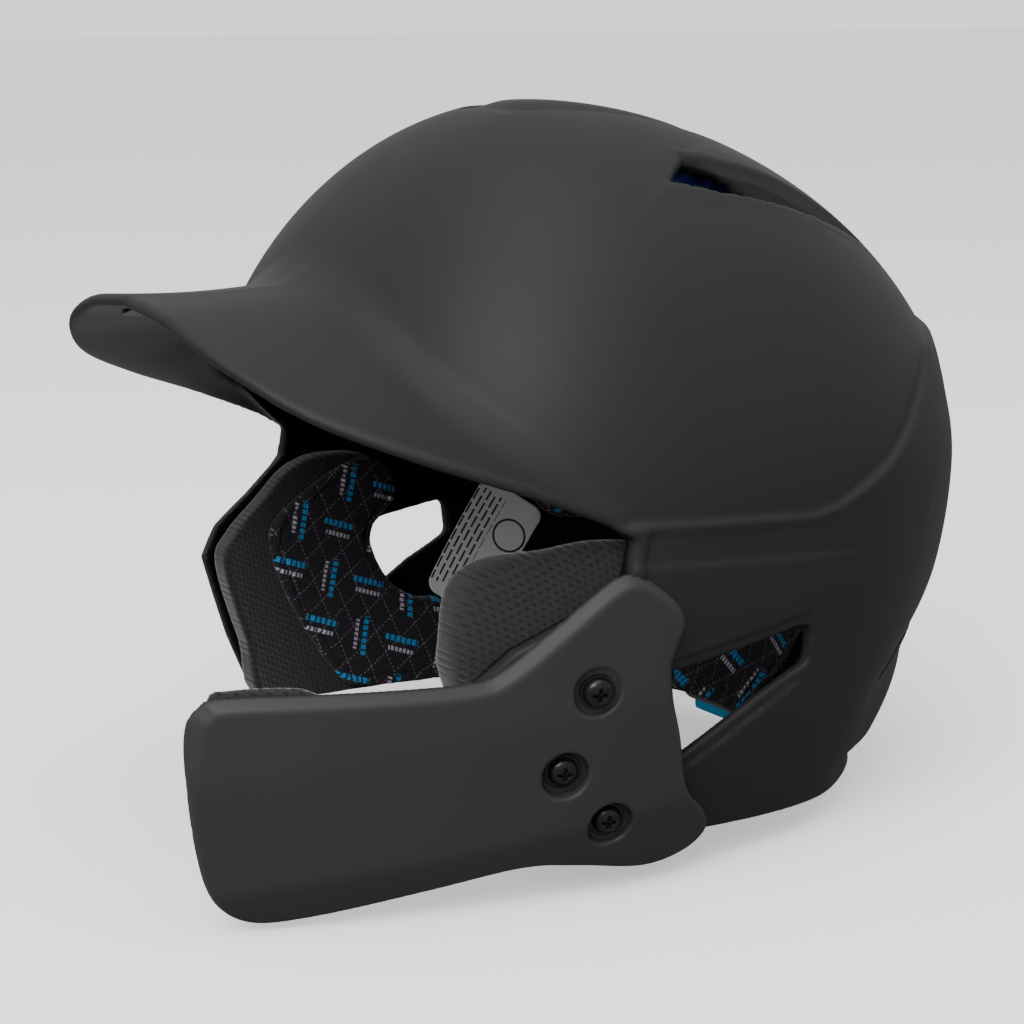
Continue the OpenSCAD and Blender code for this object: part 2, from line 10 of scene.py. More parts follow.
import bpy
import numpy as np
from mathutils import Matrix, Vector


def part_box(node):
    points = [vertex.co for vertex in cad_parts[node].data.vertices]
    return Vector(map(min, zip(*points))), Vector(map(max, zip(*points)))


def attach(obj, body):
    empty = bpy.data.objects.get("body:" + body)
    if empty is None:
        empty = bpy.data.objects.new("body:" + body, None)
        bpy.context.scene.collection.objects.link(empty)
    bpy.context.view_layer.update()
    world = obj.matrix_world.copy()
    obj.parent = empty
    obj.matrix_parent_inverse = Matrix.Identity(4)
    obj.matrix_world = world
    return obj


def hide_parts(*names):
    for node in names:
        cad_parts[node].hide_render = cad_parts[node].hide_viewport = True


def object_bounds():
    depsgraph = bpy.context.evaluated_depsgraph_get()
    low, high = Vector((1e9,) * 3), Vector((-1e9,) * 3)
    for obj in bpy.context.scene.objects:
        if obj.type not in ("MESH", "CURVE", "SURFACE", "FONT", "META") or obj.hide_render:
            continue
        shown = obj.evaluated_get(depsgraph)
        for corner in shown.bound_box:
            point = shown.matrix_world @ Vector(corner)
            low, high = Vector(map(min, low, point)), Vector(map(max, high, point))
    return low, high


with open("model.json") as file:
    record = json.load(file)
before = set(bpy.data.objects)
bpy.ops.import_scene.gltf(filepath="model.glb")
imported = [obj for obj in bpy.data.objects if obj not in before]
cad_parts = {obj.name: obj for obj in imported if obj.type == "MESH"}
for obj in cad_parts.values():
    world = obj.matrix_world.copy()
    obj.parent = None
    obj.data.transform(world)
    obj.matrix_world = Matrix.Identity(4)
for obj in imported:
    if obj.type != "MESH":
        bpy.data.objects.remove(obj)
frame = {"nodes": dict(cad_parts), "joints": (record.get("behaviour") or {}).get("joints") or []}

import openvdb
from mathutils import Vector

CAD_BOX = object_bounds()
MM = 0.001


def cad_box(node):
    """Lowest and highest corner of a CAD node, in millimetres."""
    low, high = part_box(node)
    return np.array(low) / MM, np.array(high) / MM


SHELL_LOW, SHELL_HIGH = cad_box("outer_shell")
GUARD_LOW, GUARD_HIGH = cad_box("jaw_guard")

# Dome, as in the CAD: half width, reach forward and rearward, height, and squareness
BAND_STEP = 2.0
HALF_W = 101.4
CROWN = 105.4
FRONT = 87.9
REAR = 132.9
PLAN_ROUND = 2.35
UPRIGHT_ROUND = 1.87
SHELL_T = 3.5
SIDE_FALL = 180.0
REAR_FALL = 140.0
CHEEK_FLARE = 23.0
CHEEK_DROP = 34.0
RIM_Z = -89.8
RIM_SLOPE = 0.06
NAPE_KICK = 4.0

BRIM_T = 4.0
BRIM_ARCH = -1.2
BRIM_CENTRE_Y = -28.0
LIP_W = 4.2
ROOT_SWEEP = 72.9
LIP_POINTS = np.array([
    [0, -126.6, 53.4], [24, -126.4, 50.5], [48, -122.2, 42.2], [70.5, -109.4, 31],
    [87.7, -87.5, 21], [96, -61, 11], [97.3, -31, -2],
])
# Side-view outlines, as [y, z]
CHEEK_EDGE = np.array([
    [-30, 60], [-30, 0], [-31.8, -11.4], [-46, -21.5], [-60.2, -29.4], [-67.4, -37.7],
    [-60.6, -63.8], [-53.5, -82.9], [-47, -112],
])
EAR_HOLE = np.array([[-24, -40.5], [29.4, -32.4], [29.8, -44], [14, -51.3], [-8.4, -64.2], [-21, -71.5]])
BAND_EDGE = np.array([
    [-60, 3.5], [-28.6, 2.8], [8, 0.8], [27, -0.8], [36, 0.5], [48, 5], [58, 9.2], [69, 16],
    [82, 26.2], [95, 35.2], [140, 47],
])


# ---------------------------------------------------------------- field tools

def ease(t):
    c = np.clip(t, 0.0, 1.0)
    return c * c * (3 - 2 * c)


def smooth_min(a, b, k):
    """Union of two fields with a fillet about k wide."""
    h = np.clip(0.5 + 0.5 * (b - a) / k, 0.0, 1.0)
    return b + (a - b) * h - k * h * (1 - h)


def smooth_max(a, b, k):
    """Intersection of two fields with an edge rounded over about k."""
    return -smooth_min(-a, -b, k)


def segment_distance(px, py, a, b):
    ab = b - a
    t = np.clip(((px - a[0]) * ab[0] + (py - a[1]) * ab[1]) / (ab @ ab), 0.0, 1.0)
    return np.hypot(px - a[0] - ab[0] * t, py - a[1] - ab[1] * t)


def polygon_distance(px, py, pts):
    """Signed distance to a closed outline, negative inside."""
    dist = np.full(px.shape, 1e9)
    inside = np.zeros(px.shape, bool)
    for i in range(len(pts)):
        a, b = pts[i], pts[(i + 1) % len(pts)]
        dist = np.minimum(dist, segment_distance(px, py, a, b))
        if a[1] != b[1]:
            crosses = (a[1] > py) != (b[1] > py)
            inside ^= crosses & (px < (b[0] - a[0]) * (py - a[1]) / (b[1] - a[1]) + a[0])
    return np.where(inside, -dist, dist)


class Outline:
    """Distance to an outline, tabulated on a fine grid and read back by linear interpolation."""

    def __init__(self, pts, round_r=0.0, margin=30.0, step=0.3):
        pts = np.asarray(pts, float)
        self.low = pts.min(0) - margin
        size = np.ceil((pts.max(0) + margin - self.low) / step).astype(int) + 2
        u = self.low[0] + step * np.arange(size[0])
        v = self.low[1] + step * np.arange(size[1])
        uu, vv = np.meshgrid(u, v, indexing="ij")
        self.table = polygon_distance(uu, vv, pts)
        self.step = step
        self.round_r = round_r

    def __call__(self, u, v):
        limit = np.array(self.table.shape) - 1.001
        s = np.clip((u - self.low[0]) / self.step, 0, limit[0])
        t = np.clip((v - self.low[1]) / self.step, 0, limit[1])
        i, j = s.astype(int), t.astype(int)
        fs, ft = s - i, t - j
        tab = self.table
        near = tab[i, j] * (1 - ft) + tab[i, j + 1] * ft
        far = tab[i + 1, j] * (1 - ft) + tab[i + 1, j + 1] * ft
        return near * (1 - fs) + far * fs - self.round_r


def spline(pts, steps, closed=False):
    """Catmull-Rom curve through the points."""
    pts = np.asarray(pts, float)
    n = len(pts)
    spans = n if closed else n - 1
    out = []
    for i in range(spans):
        if closed:
            p0, p1, p2, p3 = (pts[(i + k) % n] for k in (-1, 0, 1, 2))
        else:
            p1, p2 = pts[i], pts[i + 1]
            p0 = pts[i - 1] if i else 2 * p1 - p2
            p3 = pts[i + 2] if i + 2 < n else 2 * p2 - p1
        for t in np.arange(steps) / steps:
            out.append(0.5 * (2 * p1 + (p2 - p0) * t + (2 * p0 - 5 * p1 + 4 * p2 - p3) * t * t
                              + (3 * p1 - p0 - 3 * p2 + p3) * t ** 3))
    if not closed:
        out.append(pts[-1])
    return np.array(out)


def shrink_rounded(pts, r):
    """Outline whose distance field, less r, has corners of radius r in place of sharp ones."""
    pts = np.asarray(pts, float)
    n = len(pts)
    area = sum(pts[i][0] * pts[(i + 1) % n][1] - pts[(i + 1) % n][0] * pts[i][1] for i in range(n))
    turn = 1.0 if area > 0 else -1.0
    out = []
    for i in range(n):
        before = pts[i] - pts[i - 1]
        after = pts[(i + 1) % n] - pts[i]
        n0 = turn * np.array([-before[1], before[0]]) / np.linalg.norm(before)
        n1 = turn * np.array([-after[1], after[0]]) / np.linalg.norm(after)
        out.append(pts[i] + (n0 + n1) * r / (1 + n0 @ n1))
    return np.array(out)


# ---------------------------------------------------------------- meshing

BLOCK = 6
CHUNK = 400000


def in_chunks(field, pts):
    return np.concatenate([field(pts[i:i + CHUNK]) for i in range(0, len(pts), CHUNK)])


def sample_field(field, low, high, voxel):
    """Samples a field on a grid, finely only in the blocks that its surface can cross."""
    counts = np.ceil((high - low) / (voxel * BLOCK)).astype(int)
    centres = np.stack(np.meshgrid(
        *[low[k] + voxel * (BLOCK * np.arange(counts[k]) + (BLOCK - 1) / 2) for k in range(3)],
        indexing="ij"), -1).reshape(-1, 3)
    coarse = in_chunks(field, centres)
    reach = voxel * BLOCK * 0.87 * 1.35 + 1.0
    near = np.abs(coarse) < reach
    fine = np.stack(np.meshgrid(*[voxel * (np.arange(BLOCK) - (BLOCK - 1) / 2)] * 3,
                                indexing="ij"), -1).reshape(-1, 3)
    pts = (centres[near][:, None, :] + fine[None]).reshape(-1, 3)
    values = in_chunks(field, pts).reshape(-1, BLOCK, BLOCK, BLOCK)
    blocks = np.empty((len(centres), BLOCK, BLOCK, BLOCK), np.float32)
    blocks[:] = np.sign(coarse)[:, None, None, None] * 10.0
    blocks[near] = np.clip(values, -10, 10)
    grid = blocks.reshape(*counts, BLOCK, BLOCK, BLOCK).transpose(0, 3, 1, 4, 2, 5)
    return np.ascontiguousarray(grid.reshape(*(counts * BLOCK)))


def gradient(field, pts, step=0.02):
    base = field(pts)
    cols = []
    for k in range(3):
        moved = pts.copy()
        moved[:, k] += step
        cols.append((field(moved) - base) / step)
    return base, np.stack(cols, -1)


def draw_onto(field, pts, rounds, limit):
    """Moves points along the field's gradient onto its surface."""
    start = pts.copy()
    for _ in range(rounds):
        parts = []
        for i in range(0, len(pts), CHUNK):
            p = pts[i:i + CHUNK]
            f, g = gradient(field, p)
            parts.append(p - g * (f / np.maximum((g * g).sum(-1), 0.25))[:, None])
        pts = np.concatenate(parts)
        shift = pts - start
        length = np.linalg.norm(shift, axis=-1, keepdims=True)
        pts = start + shift * np.minimum(1.0, limit / np.maximum(length, 1e-9))
    return pts


def field_mesh(field, low, high, voxel):
    """Points and quads of a field's zero surface, in millimetres."""
    low, high = np.asarray(low, float), np.asarray(high, float)
    grid = openvdb.FloatGrid(10.0)
    grid.copyFromArray(sample_field(field, low, high, voxel))
    pts, quads = grid.convertToQuads(isovalue=0.0)
    pts = low + voxel * np.asarray(pts, float)
    return draw_onto(field, pts, 2, 0.8 * voxel), np.asarray(quads, np.int64)


def make_object(name, pts, faces, body, replaced=None):
    """Mesh object from points in millimetres and faces, riding on a CAD body."""
    mesh = bpy.data.meshes.new(name)
    faces = np.asarray(faces)
    sides = faces.shape[1]
    mesh.vertices.add(len(pts))
    mesh.vertices.foreach_set("co", (np.asarray(pts) * MM).astype(np.float32).ravel())
    mesh.loops.add(faces.size)
    mesh.loops.foreach_set("vertex_index", faces.astype(np.int32).ravel())
    mesh.polygons.add(len(faces))
    mesh.polygons.foreach_set("loop_start", (np.arange(len(faces)) * sides).astype(np.int32))
    mesh.polygons.foreach_set("use_smooth", np.ones(len(faces), bool))
    mesh.update(calc_edges=True)
    mesh.validate()
    obj = bpy.data.objects.new(name, mesh)
    bpy.context.scene.collection.objects.link(obj)
    if replaced:
        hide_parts(*([replaced] if isinstance(replaced, str) else replaced))
    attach(obj, body)
    return obj


# ---------------------------------------------------------------- dome and brim

def narrowing(z, depth):
    t = np.minimum(np.abs(z) / depth, 0.9999)
    return (1 - t ** UPRIGHT_ROUND) ** (1 / UPRIGHT_ROUND)


def dome_measure(x, y, z):
    """Zero on the dome's skin, negative inside."""
    below = np.minimum(z, 0.0)
    fall = narrowing(below, SIDE_FALL)
    side_angle = np.clip(y / REAR, 0, 1)
    kick = NAPE_KICK * ease((-below - 87) / 9) * side_angle ** 1.5
    front = (FRONT + CHEEK_FLARE * ease(-below / CHEEK_DROP)) * fall
    rear = REAR * narrowing(below, REAR_FALL) + kick
    reach = np.where(y < 0, front, rear)
    plan = ((np.abs(x) / (HALF_W * fall)) ** PLAN_ROUND
            + (np.abs(y) / reach) ** PLAN_ROUND) ** (1 / PLAN_ROUND)
    high = np.maximum(z, 0.0) / CROWN
    return (plan ** UPRIGHT_ROUND + high ** UPRIGHT_ROUND) ** (1 / UPRIGHT_ROUND) - 1


def dome_distance(p):
    """Distance to the dome's skin, good near it."""
    x, y, z = p[:, 0], p[:, 1], p[:, 2]
    h = 0.05
    g = dome_measure(x, y, z)
    gx = (dome_measure(x + h, y, z) - g) / h
    gy = (dome_measure(x, y + h, z) - g) / h
    gz = (dome_measure(x, y, z + h) - g) / h
    return g / np.maximum(np.sqrt(gx * gx + gy * gy + gz * gz), 0.006)


def skin_point(angle, z):
    """Point of the dome's skin above the origin's level, at a plan angle in radians."""
    shrink = narrowing(z, CROWN)
    c, s = np.cos(angle), np.sin(angle)
    reach = np.where(s < 0, FRONT, REAR)
    e = 2 / PLAN_ROUND
    return np.stack([HALF_W * shrink * np.sign(c) * np.abs(c) ** e,
                     reach * shrink * np.sign(s) * np.abs(s) ** e, z], -1)


def brim_tables():
    """Lip and root of the brim as functions of the bearing from BRIM_CENTRE_Y."""
    half = spline(LIP_POINTS, 40)
    half = half[1:]
    lip = np.concatenate([half[::-1] * [-1, 1, 1], LIP_POINTS[:1], half])
    u = np.linspace(-1, 1, len(lip))
    root_angle = math.radians(-90) + math.radians(ROOT_SWEEP) * u
    root = skin_point(root_angle, np.maximum(0.5, lip[:, 2] + LIP_W))

    def polar(pts):
        dx, dy = pts[:, 0], BRIM_CENTRE_Y - pts[:, 1]
        return np.arctan2(dx, dy), np.hypot(dx, dy), pts[:, 2]

    return polar(lip), polar(root)


(LIP_BEARING, LIP_R, LIP_Z), (ROOT_BEARING, ROOT_R, ROOT_Z) = brim_tables()
BRIM_END = LIP_BEARING[-1]


def brim_height(p):
    """Height of the brim's upper face, reach of its lip and how far along a point is."""
    dx, dy = p[:, 0], BRIM_CENTRE_Y - p[:, 1]
    bearing, r = np.arctan2(dx, dy), np.hypot(dx, dy)
    lip_r = np.interp(bearing, LIP_BEARING, LIP_R)
    lip_z = np.interp(bearing, LIP_BEARING, LIP_Z) + LIP_W
    root_r = np.interp(bearing, ROOT_BEARING, ROOT_R)
    root_z = np.interp(bearing, ROOT_BEARING, ROOT_Z)
    width = np.maximum(lip_r - root_r, 1.0)
    t = np.clip((r - root_r) / width, 0, 1)
    top = root_z + (lip_z - root_z) * ease(t) * 0.35 + (lip_z - root_z) * t * 0.65
    top = top + BRIM_ARCH * np.sin(math.pi * t) * ease(width / 40)
    past_end = np.maximum(np.abs(bearing) - BRIM_END + 0.03, 0) * 60
    return top, r - lip_r + past_end, t


# ---------------------------------------------------------------- shell

# Crown vents in plan, left side: the lower edge rearward, then the top of the wall forward
VENT = np.array([
    [55.6, 10.8], [58.4, 25], [58.4, 41], [57.4, 54], [55.2, 67], [50.5, 84], [46.2, 76],
    [45.5, 66], [45.7, 52], [46.8, 35], [45.2, 23], [50.6, 16.2],
])
VENT_WALL_TOP = VENT[5:11]
# The pocket has a floor behind this line and is open ahead of it
VENT_FLOOR_EDGE = np.array([[44.5, 24], [53.5, 48]])
VENT_CREASE = np.array([[60, 0], [44.3, 23]])
# Raised panel on the crown in plan, left half, and the groove along its edge
CROWN_PANEL = np.array([
    [0, -26], [9, -20], [13.2, -14.5], [16.5, -9], [18.6, 0], [19.9, 8], [22.7, 28], [23.7, 40],
    [22, 60], [10, 76], [0, 78],
])
GROOVE_DEPTH = 2.2
GROOVE_W = 12.0
# Slanted louvre behind each ear, in side view, at the bottom of a shallow valley
LOUVRE = np.array([[40, -73], [66, -60.5], [81, -53], [97, -48], [116, -46]])
LOUVRE_SLIT = 1.7

CHEEK_REGION = np.concatenate([[[-260, 60], [-260, -160], [-47, -160]], CHEEK_EDGE[::-1]])
cheek_outline = Outline(CHEEK_REGION, margin=20.0, step=0.5)
ear_outline = Outline(shrink_rounded(EAR_HOLE, 3.0), round_r=3.0)
ear_border = Outline(shrink_rounded(EAR_HOLE, 2.0), round_r=2.0, step=0.4)
vent_outline = Outline(VENT)
panel_outline = Outline(np.concatenate([CROWN_PANEL, CROWN_PANEL[-2:0:-1] * [-1, 1]]), step=0.4)
band_region = np.concatenate([BAND_EDGE, [[140, -160], [-60, -160]]])
band_outline = Outline(band_region, step=0.5)


def polyline_distance(u, v, pts):
    dist = np.full(u.shape, 1e9)
    for a, b in zip(pts[:-1], pts[1:]):
        dist = np.minimum(dist, segment_distance(u, v, a, b))
    return dist


def side_of_line(u, v, a, b):
    """Signed distance to the line through a and b, positive on its left."""
    along = (b - a) / np.linalg.norm(b - a)
    return along[0] * (v - a[1]) - along[1] * (u - a[0])


def above_louvre(y, z):
    return (z - np.interp(y, LOUVRE[:, 0], LOUVRE[:, 1])) * 0.93


def rear_valley(y, z):
    """Depth of the hollow in the rear band round the louvre; the wall keeps its thickness there."""
    d = above_louvre(y, z)
    shelf = 2.0 * ease((d + 26) / 24) * (1 - 0.5 * ease((z - 16) / 16)) * ease((y - 55) / 45)
    valley = 2.6 * np.exp(-((d + 2) / 8.5) ** 2) * ease((y - 60) / 22)
    return (shelf + valley) * (1 - ease((z - 26) / 14))


def ear_border_step(y, z):
    """Sunk border along the upper and lower edges of the ear hole."""
    strip = 1 - ease((ear_border(y, z) - 3.6) / 0.5)
    return -1.15 * strip * (1 - ease((y - 23) / 9))


def vent_hood(ax, y, z):
    """Swelling of the crown round the vent's mouth, which starts at a crease ahead of it."""
    past_crease = side_of_line(ax, y, VENT_CREASE[1], VENT_CREASE[0])
    near = ease((66 - ax) / 8) * ease((ax - 30) / 14) * (1 - ease((y - 45) / 30))
    return 0.6 * ease(past_crease / 4) * near * (z > 40)


def crown_groove(ax, y, z):
    """Depth of the groove inside the edge of the crown panel."""
    into_panel = -panel_outline(ax, y)
    groove = ease(into_panel / 1.2) * (1 - ease((into_panel - 1.2) / GROOVE_W))
    return GROOVE_DEPTH * groove * ease((y + 18) / 12) * (z > 40)


def inner_sink(ax, y, z):
    """How far the hollows push the wall's inner face in, so the wall stays thick enough."""
    return rear_valley(y, z) + 0.6 * crown_groove(ax, y, z)


def surface_relief(ax, y, z):
    """Height of the moulded features above the plain dome."""
    # raised rear band, with a bevel along its upper edge
    to_band = -band_outline(y, z)
    start = ease((y + 36) / 5)
    step = BAND_STEP * (0.6 + 0.4 * ease((y - 20) / 40))
    relief = step * ease((to_band + 0.3) / 2.0) * start
    # second, smaller step that dies away rearward
    second = -9.8 - 0.075 * np.maximum(y, -30)
    fade = 1 - ease((y - 20) / 45)
    relief = relief + 0.6 * (ease((second - z) / 1.8) - 1) * fade * start * ease((to_band - 1) / 4)
    relief = relief + ear_border_step(y, z) - rear_valley(y, z) + vent_hood(ax, y, z)
    # lip under the louvre, and the waist above the nape's flared rim
    d = above_louvre(y, z)
    relief = relief + 1.0 * ease(-d / 0.8) * np.exp(-np.maximum(-d, 0) / 5) * ease((y - 66) / 10)
    waist = 0.9 * ease((-z - 52) / 8) + 1.9 * ease((-z - 80) / 3) * (1 - ease((-z - 88.5) / 3.5))
    relief = relief - waist * ease((y - 50) / 20)
    relief = relief + 0.9 * (1 - ease((cheek_outline(y, z) - 3.2) / 0.7)) * ease((3 - z) / 4)
    return relief - crown_groove(ax, y, z)


def screw_frames():
    """Axis point and outward direction of each guard screw, from the CAD joints."""
    out = {}
    for joint in frame["joints"]:
        if joint["name"].endswith("_screw_turn"):
            out[joint["name"].split("_")[0]] = np.array(joint["pos_m"]) / MM, np.array(joint["axis"])
    return out


SCREWS = screw_frames()
NUT_HOLE_R = 3.05


def axis_distance(p, at, direction):
    rel = p - at
    return np.linalg.norm(rel - (rel @ direction)[:, None] * direction, axis=-1)


def shell_parts(p):
    """Outer solid and inner void of the shell, and their combination."""
    x, y, z = p[:, 0], p[:, 1], p[:, 2]
    ax = np.abs(x)
    skin = dome_distance(p)
    inner = skin + SHELL_T + inner_sink(ax, y, z)
    relief = surface_relief(ax, y, z)
    top, past_lip = brim_height(p)[:2]
    plate = smooth_max(np.abs(z - (top - BRIM_T / 2)) * 0.92 - BRIM_T / 2, past_lip, 2.2)
    fillet = 3.0 + 6.0 * ease((-y - 34) / 30)
    outer = smooth_min(skin - relief, plate, fillet)

    under = (z - (top - BRIM_T)) * 0.92
    front_void = smooth_max(under, cheek_outline(y, z), 2.0)
    blend = 8.5 * ease((-y - 30) / 25) * ease((z - 5) / 20)
    void = smooth_min(inner, front_void, blend + 0.5)
    body = smooth_max(outer, -void, 2.0)

    body = smooth_max(body, -(z - (RIM_Z - RIM_SLOPE * y)), 1.8)
    body = smooth_max(body, -ear_outline(y, z), 1.6)
    return outer, void, body, skin, ax


def shell_field(p):
    x, y, z = p[:, 0], p[:, 1], p[:, 2]
    _, _, body, skin, ax = shell_parts(p)
    high = z > 30
    if high.any():
        body = np.where(high, crown_vent(body, skin, ax, y), body)
    # louvre slit just above its lip
    slit = np.abs(above_louvre(y, z) - LOUVRE_SLIT / 2) - LOUVRE_SLIT / 2
    slit = np.where(z < -10, np.maximum(slit, np.abs(y - 92) - 23), 20.0)
    body = smooth_max(body, -slit, 0.6)
    for at, direction in SCREWS.values():
        bore = axis_distance(p, at, direction) - NUT_HOLE_R
        body = np.maximum(body, np.where(x > 0, -bore, -20.0))
    return body


def crown_vent(body, skin, ax, y):
    """Cuts the crown vent: open at its mouth, then a pocket with a sloping wall and a floor."""
    region = vent_outline(ax, y)
    depth = -skin
    floor = 0.6 + smooth_min(0.95 * polyline_distance(ax, y, VENT_WALL_TOP), np.full(len(y), 5.6), 3)
    mouth = side_of_line(ax, y, *VENT_FLOOR_EDGE)
    tub = np.maximum(np.maximum(depth - floor - 2.8, -depth) * 0.8, np.maximum(region - 2.6, -mouth))
    cut = np.maximum(region, np.minimum((depth - floor) * 0.8, mouth))
    return smooth_max(smooth_min(body, tub, 1.0), -cut, 1.5)


SHELL_VOXEL = 1.1


def build_shell():
    pts, quads = field_mesh(shell_field, SHELL_LOW - 5, SHELL_HIGH + 5, SHELL_VOXEL)
    shell = make_object("helmet_shell", pts, quads, "shell", "outer_shell")
    # height above the painted faces: the dome's skin and, ahead of the cheeks, the brim's upper face
    x, y, z = pts.T
    outward = dome_distance(pts) - surface_relief(np.abs(x), y, z)
    above_brim = (z - brim_height(pts)[0]) * 0.92
    outward = np.where(cheek_outline(y, z) < -0.8, np.minimum(outward, above_brim), outward)
    facing = shell.data.attributes.new("outward", "FLOAT", "POINT")
    facing.data.foreach_set("value", outward.astype(np.float32))
    return shell


# ---------------------------------------------------------------- jaw guard

GUARD_X = 104.0
GUARD_T = 4.0
GUARD_CHAMFER = 2.4
FOLD_SOFTNESS = 2.6
FLARE, LEAN, TUCK = (math.tan(math.radians(a)) for a in (3, 8, 26))
GUARD_POINTS = np.array([
    [-130.9, -36.2], [-101.4, -36.2], [-75, -35.6], [-66, -33], [-52, -22.2], [-38.5, -11.8],
    [-30.5, -10.4], [-19.8, -17.6], [-15.8, -24.6], [-18, -31.5], [-19.4, -38], [-17, -52],
    [-13, -71], [-5, -79.5], [-0.4, -86.8], [-5.2, -93.2], [-19, -95.6], [-40, -91.4],
    [-57, -89.4], [-80.5, -93.2], [-109, -98.4], [-123.6, -98.6], [-132.4, -91.4],
    [-136.6, -78], [-139.4, -58], [-139.6, -44.4], [-136.8, -38.6],
])
guard_outline = Outline(spline(GUARD_POINTS, 6, closed=True))
CUSHION_POINTS = np.array([
    [-134, -38], [-128, -34.6], [-112, -34.8], [-103, -39], [-80, -41], [-74, -52], [-78, -72], [-126, -76], [-135, -62],
])
cushion_outline = Outline(spline(CUSHION_POINTS, 6, closed=True), step=0.5)
RECESS_R = 6.5
SHANK_HOLE_R = 2.15
BOSS_R = 9.4
SEAT_FLOOR = 3.0


def soft_ramp(v, k=FOLD_SOFTNESS):
    """max(0, v) with its corner rounded."""
    return smooth_max(v, np.zeros_like(v), k)


def guard_face(y, z):
    """Distance of the guard's outer face from the symmetry plane."""
    upper = -39.5 + 0.14 * y
    lower = -73 + 0.13 * y
    turn = 42 * (np.maximum(0.0, -10 - y) / 130) ** 1.6
    return (GUARD_X - turn + FLARE * soft_ramp(z - upper) - LEAN * soft_ramp(upper - z)
            - (TUCK - LEAN) * soft_ramp(lower - z))


def guard_depth(p):
    """Distance inwards from the guard's outer face."""
    x, y, z = p[:, 0], p[:, 1], p[:, 2]
    h = 0.1
    face = guard_face(y, z)
    dy = (guard_face(y + h, z) - face) / h
    dz = (guard_face(y, z + h) - face) / h
    return (face - x) / np.sqrt(1 + dy * dy + dz * dz)


def chamfered(a, b, width):
    """Intersection with a flat bevel between the two faces."""
    bevel = (a + b + width) * math.sqrt(0.5)
    return smooth_max(smooth_max(a, b, 0.3), bevel, 0.8)


def washer_seats():
    """Each screw's seat: the point of its axis under the washer, and its direction."""
    seats = {}
    for name, (at, direction) in SCREWS.items():
        low, high = cad_box(name + "_screw_washer")
        middle = (low + high) / 2
        along = (middle - at) @ direction
        seats[name] = at + direction * (along - 0.5), direction
    return seats


SEATS = washer_seats()


def guard_field(p):
    y, z = p[:, 1], p[:, 2]
    depth = guard_depth(p)
    edge = guard_outline(y, z)
    clear_of_shell = 0.5 + surface_relief(np.abs(p[:, 0]), y, z) - dome_distance(p)
    slab = smooth_max(depth - GUARD_T, clear_of_shell, 1.0)
    for at, direction in SEATS.values():
        along = (p - at) @ direction
        boss = smooth_max(axis_distance(p, at, direction) - BOSS_R, -along - SEAT_FLOOR, 0.6)
        slab = smooth_min(slab, boss, 1.5)
    bevel = 0.5 + GUARD_CHAMFER * ease((z + 60) / 16)
    body = smooth_max(chamfered(-depth, edge, bevel), slab, 0.8)
    for at, direction in SEATS.values():
        along = (p - at) @ direction
        radius = axis_distance(p, at, direction)
        recess = np.maximum(radius - RECESS_R, -along)
        body = smooth_max(body, -recess, 0.7)
        body = np.maximum(body, SHANK_HOLE_R - radius)
    return body


def cushion_field(p):
    depth = guard_depth(p) - GUARD_T - 0.3
    edge = cushion_outline(p[:, 1], p[:, 2])
    crown = 1.2 * ease(-edge / 14)
    return smooth_max(smooth_max(-depth, depth - 3.8 - crown, 2.5), edge, 3.5)


def build_guard():
    voxel = 0.75
    pts, quads = field_mesh(guard_field, GUARD_LOW - 4, GUARD_HIGH + 4, voxel)
    guard = make_object("jaw_guard_moulding", pts, quads, "jaw_guard", "jaw_guard")
    low, high = cad_box("guard_cushion")
    pts, quads = field_mesh(cushion_field, low - 5, high + 5, 1.1)
    cushion = make_object("guard_facing", pts, quads, "jaw_guard", "guard_cushion")
    return guard, cushion


# ---------------------------------------------------------------- fasteners

HEAD_R = 4.1
HEAD_H = 2.7
WASHER_T = 1.0
THREAD_R = 2.0
SHANK_LEN = 11.5


def screw_field(p):
    """Pan head with a cross recess, standing on the washer, and a threaded shank."""
    x, y, z = p[:, 0], p[:, 1], p[:, 2] - WASHER_T
    r = np.hypot(x, y)
    dome = np.sqrt(r * r + (z - HEAD_H + 6.2) ** 2) - 6.2
    head = smooth_max(smooth_max(r - HEAD_R, dome, 1.1), -z, 0.4)
    taper = 0.16 * (HEAD_H - z)
    arm = np.minimum(np.maximum(np.abs(x) - 0.5, np.abs(y) - 2.25 + 2.4 * taper),
                     np.maximum(np.abs(y) - 0.5, np.abs(x) - 2.25 + 2.4 * taper))
    core = r - 1.25 + taper
    cross = np.maximum(smooth_min(arm + 0.4 * taper, core, 0.35), 0.75 - z)
    head = smooth_max(head, -cross, 0.16)
    pitch = 0.7
    thread = 0.2 * (2 * np.abs(((z / pitch - np.arctan2(y, x) / (2 * math.pi)) % 1) - 0.5))
    shank = smooth_max(r - THREAD_R + thread, -SHANK_LEN - z, 0.4)
    return np.minimum(head, np.maximum(shank, z - 0.3))


def axis_frame(direction):
    """Rotation whose third column is the direction."""
    return np.array(Vector(direction).to_track_quat("Z", "Y").to_matrix())


def build_screws():
    voxel = 0.16
    low = np.array([-4.6, -4.6, -SHANK_LEN - 1])
    pts, quads = field_mesh(screw_field, low, np.array([4.6, 4.6, 4.4]), voxel)
    out = []
    for name, (at, direction) in SEATS.items():
        placed = pts @ axis_frame(direction).T + at
        out.append(make_object(name + "_pan_screw", placed, quads, name + "_screw",
                               name + "_guard_screw"))
    return out


# ---------------------------------------------------------------- liner pads

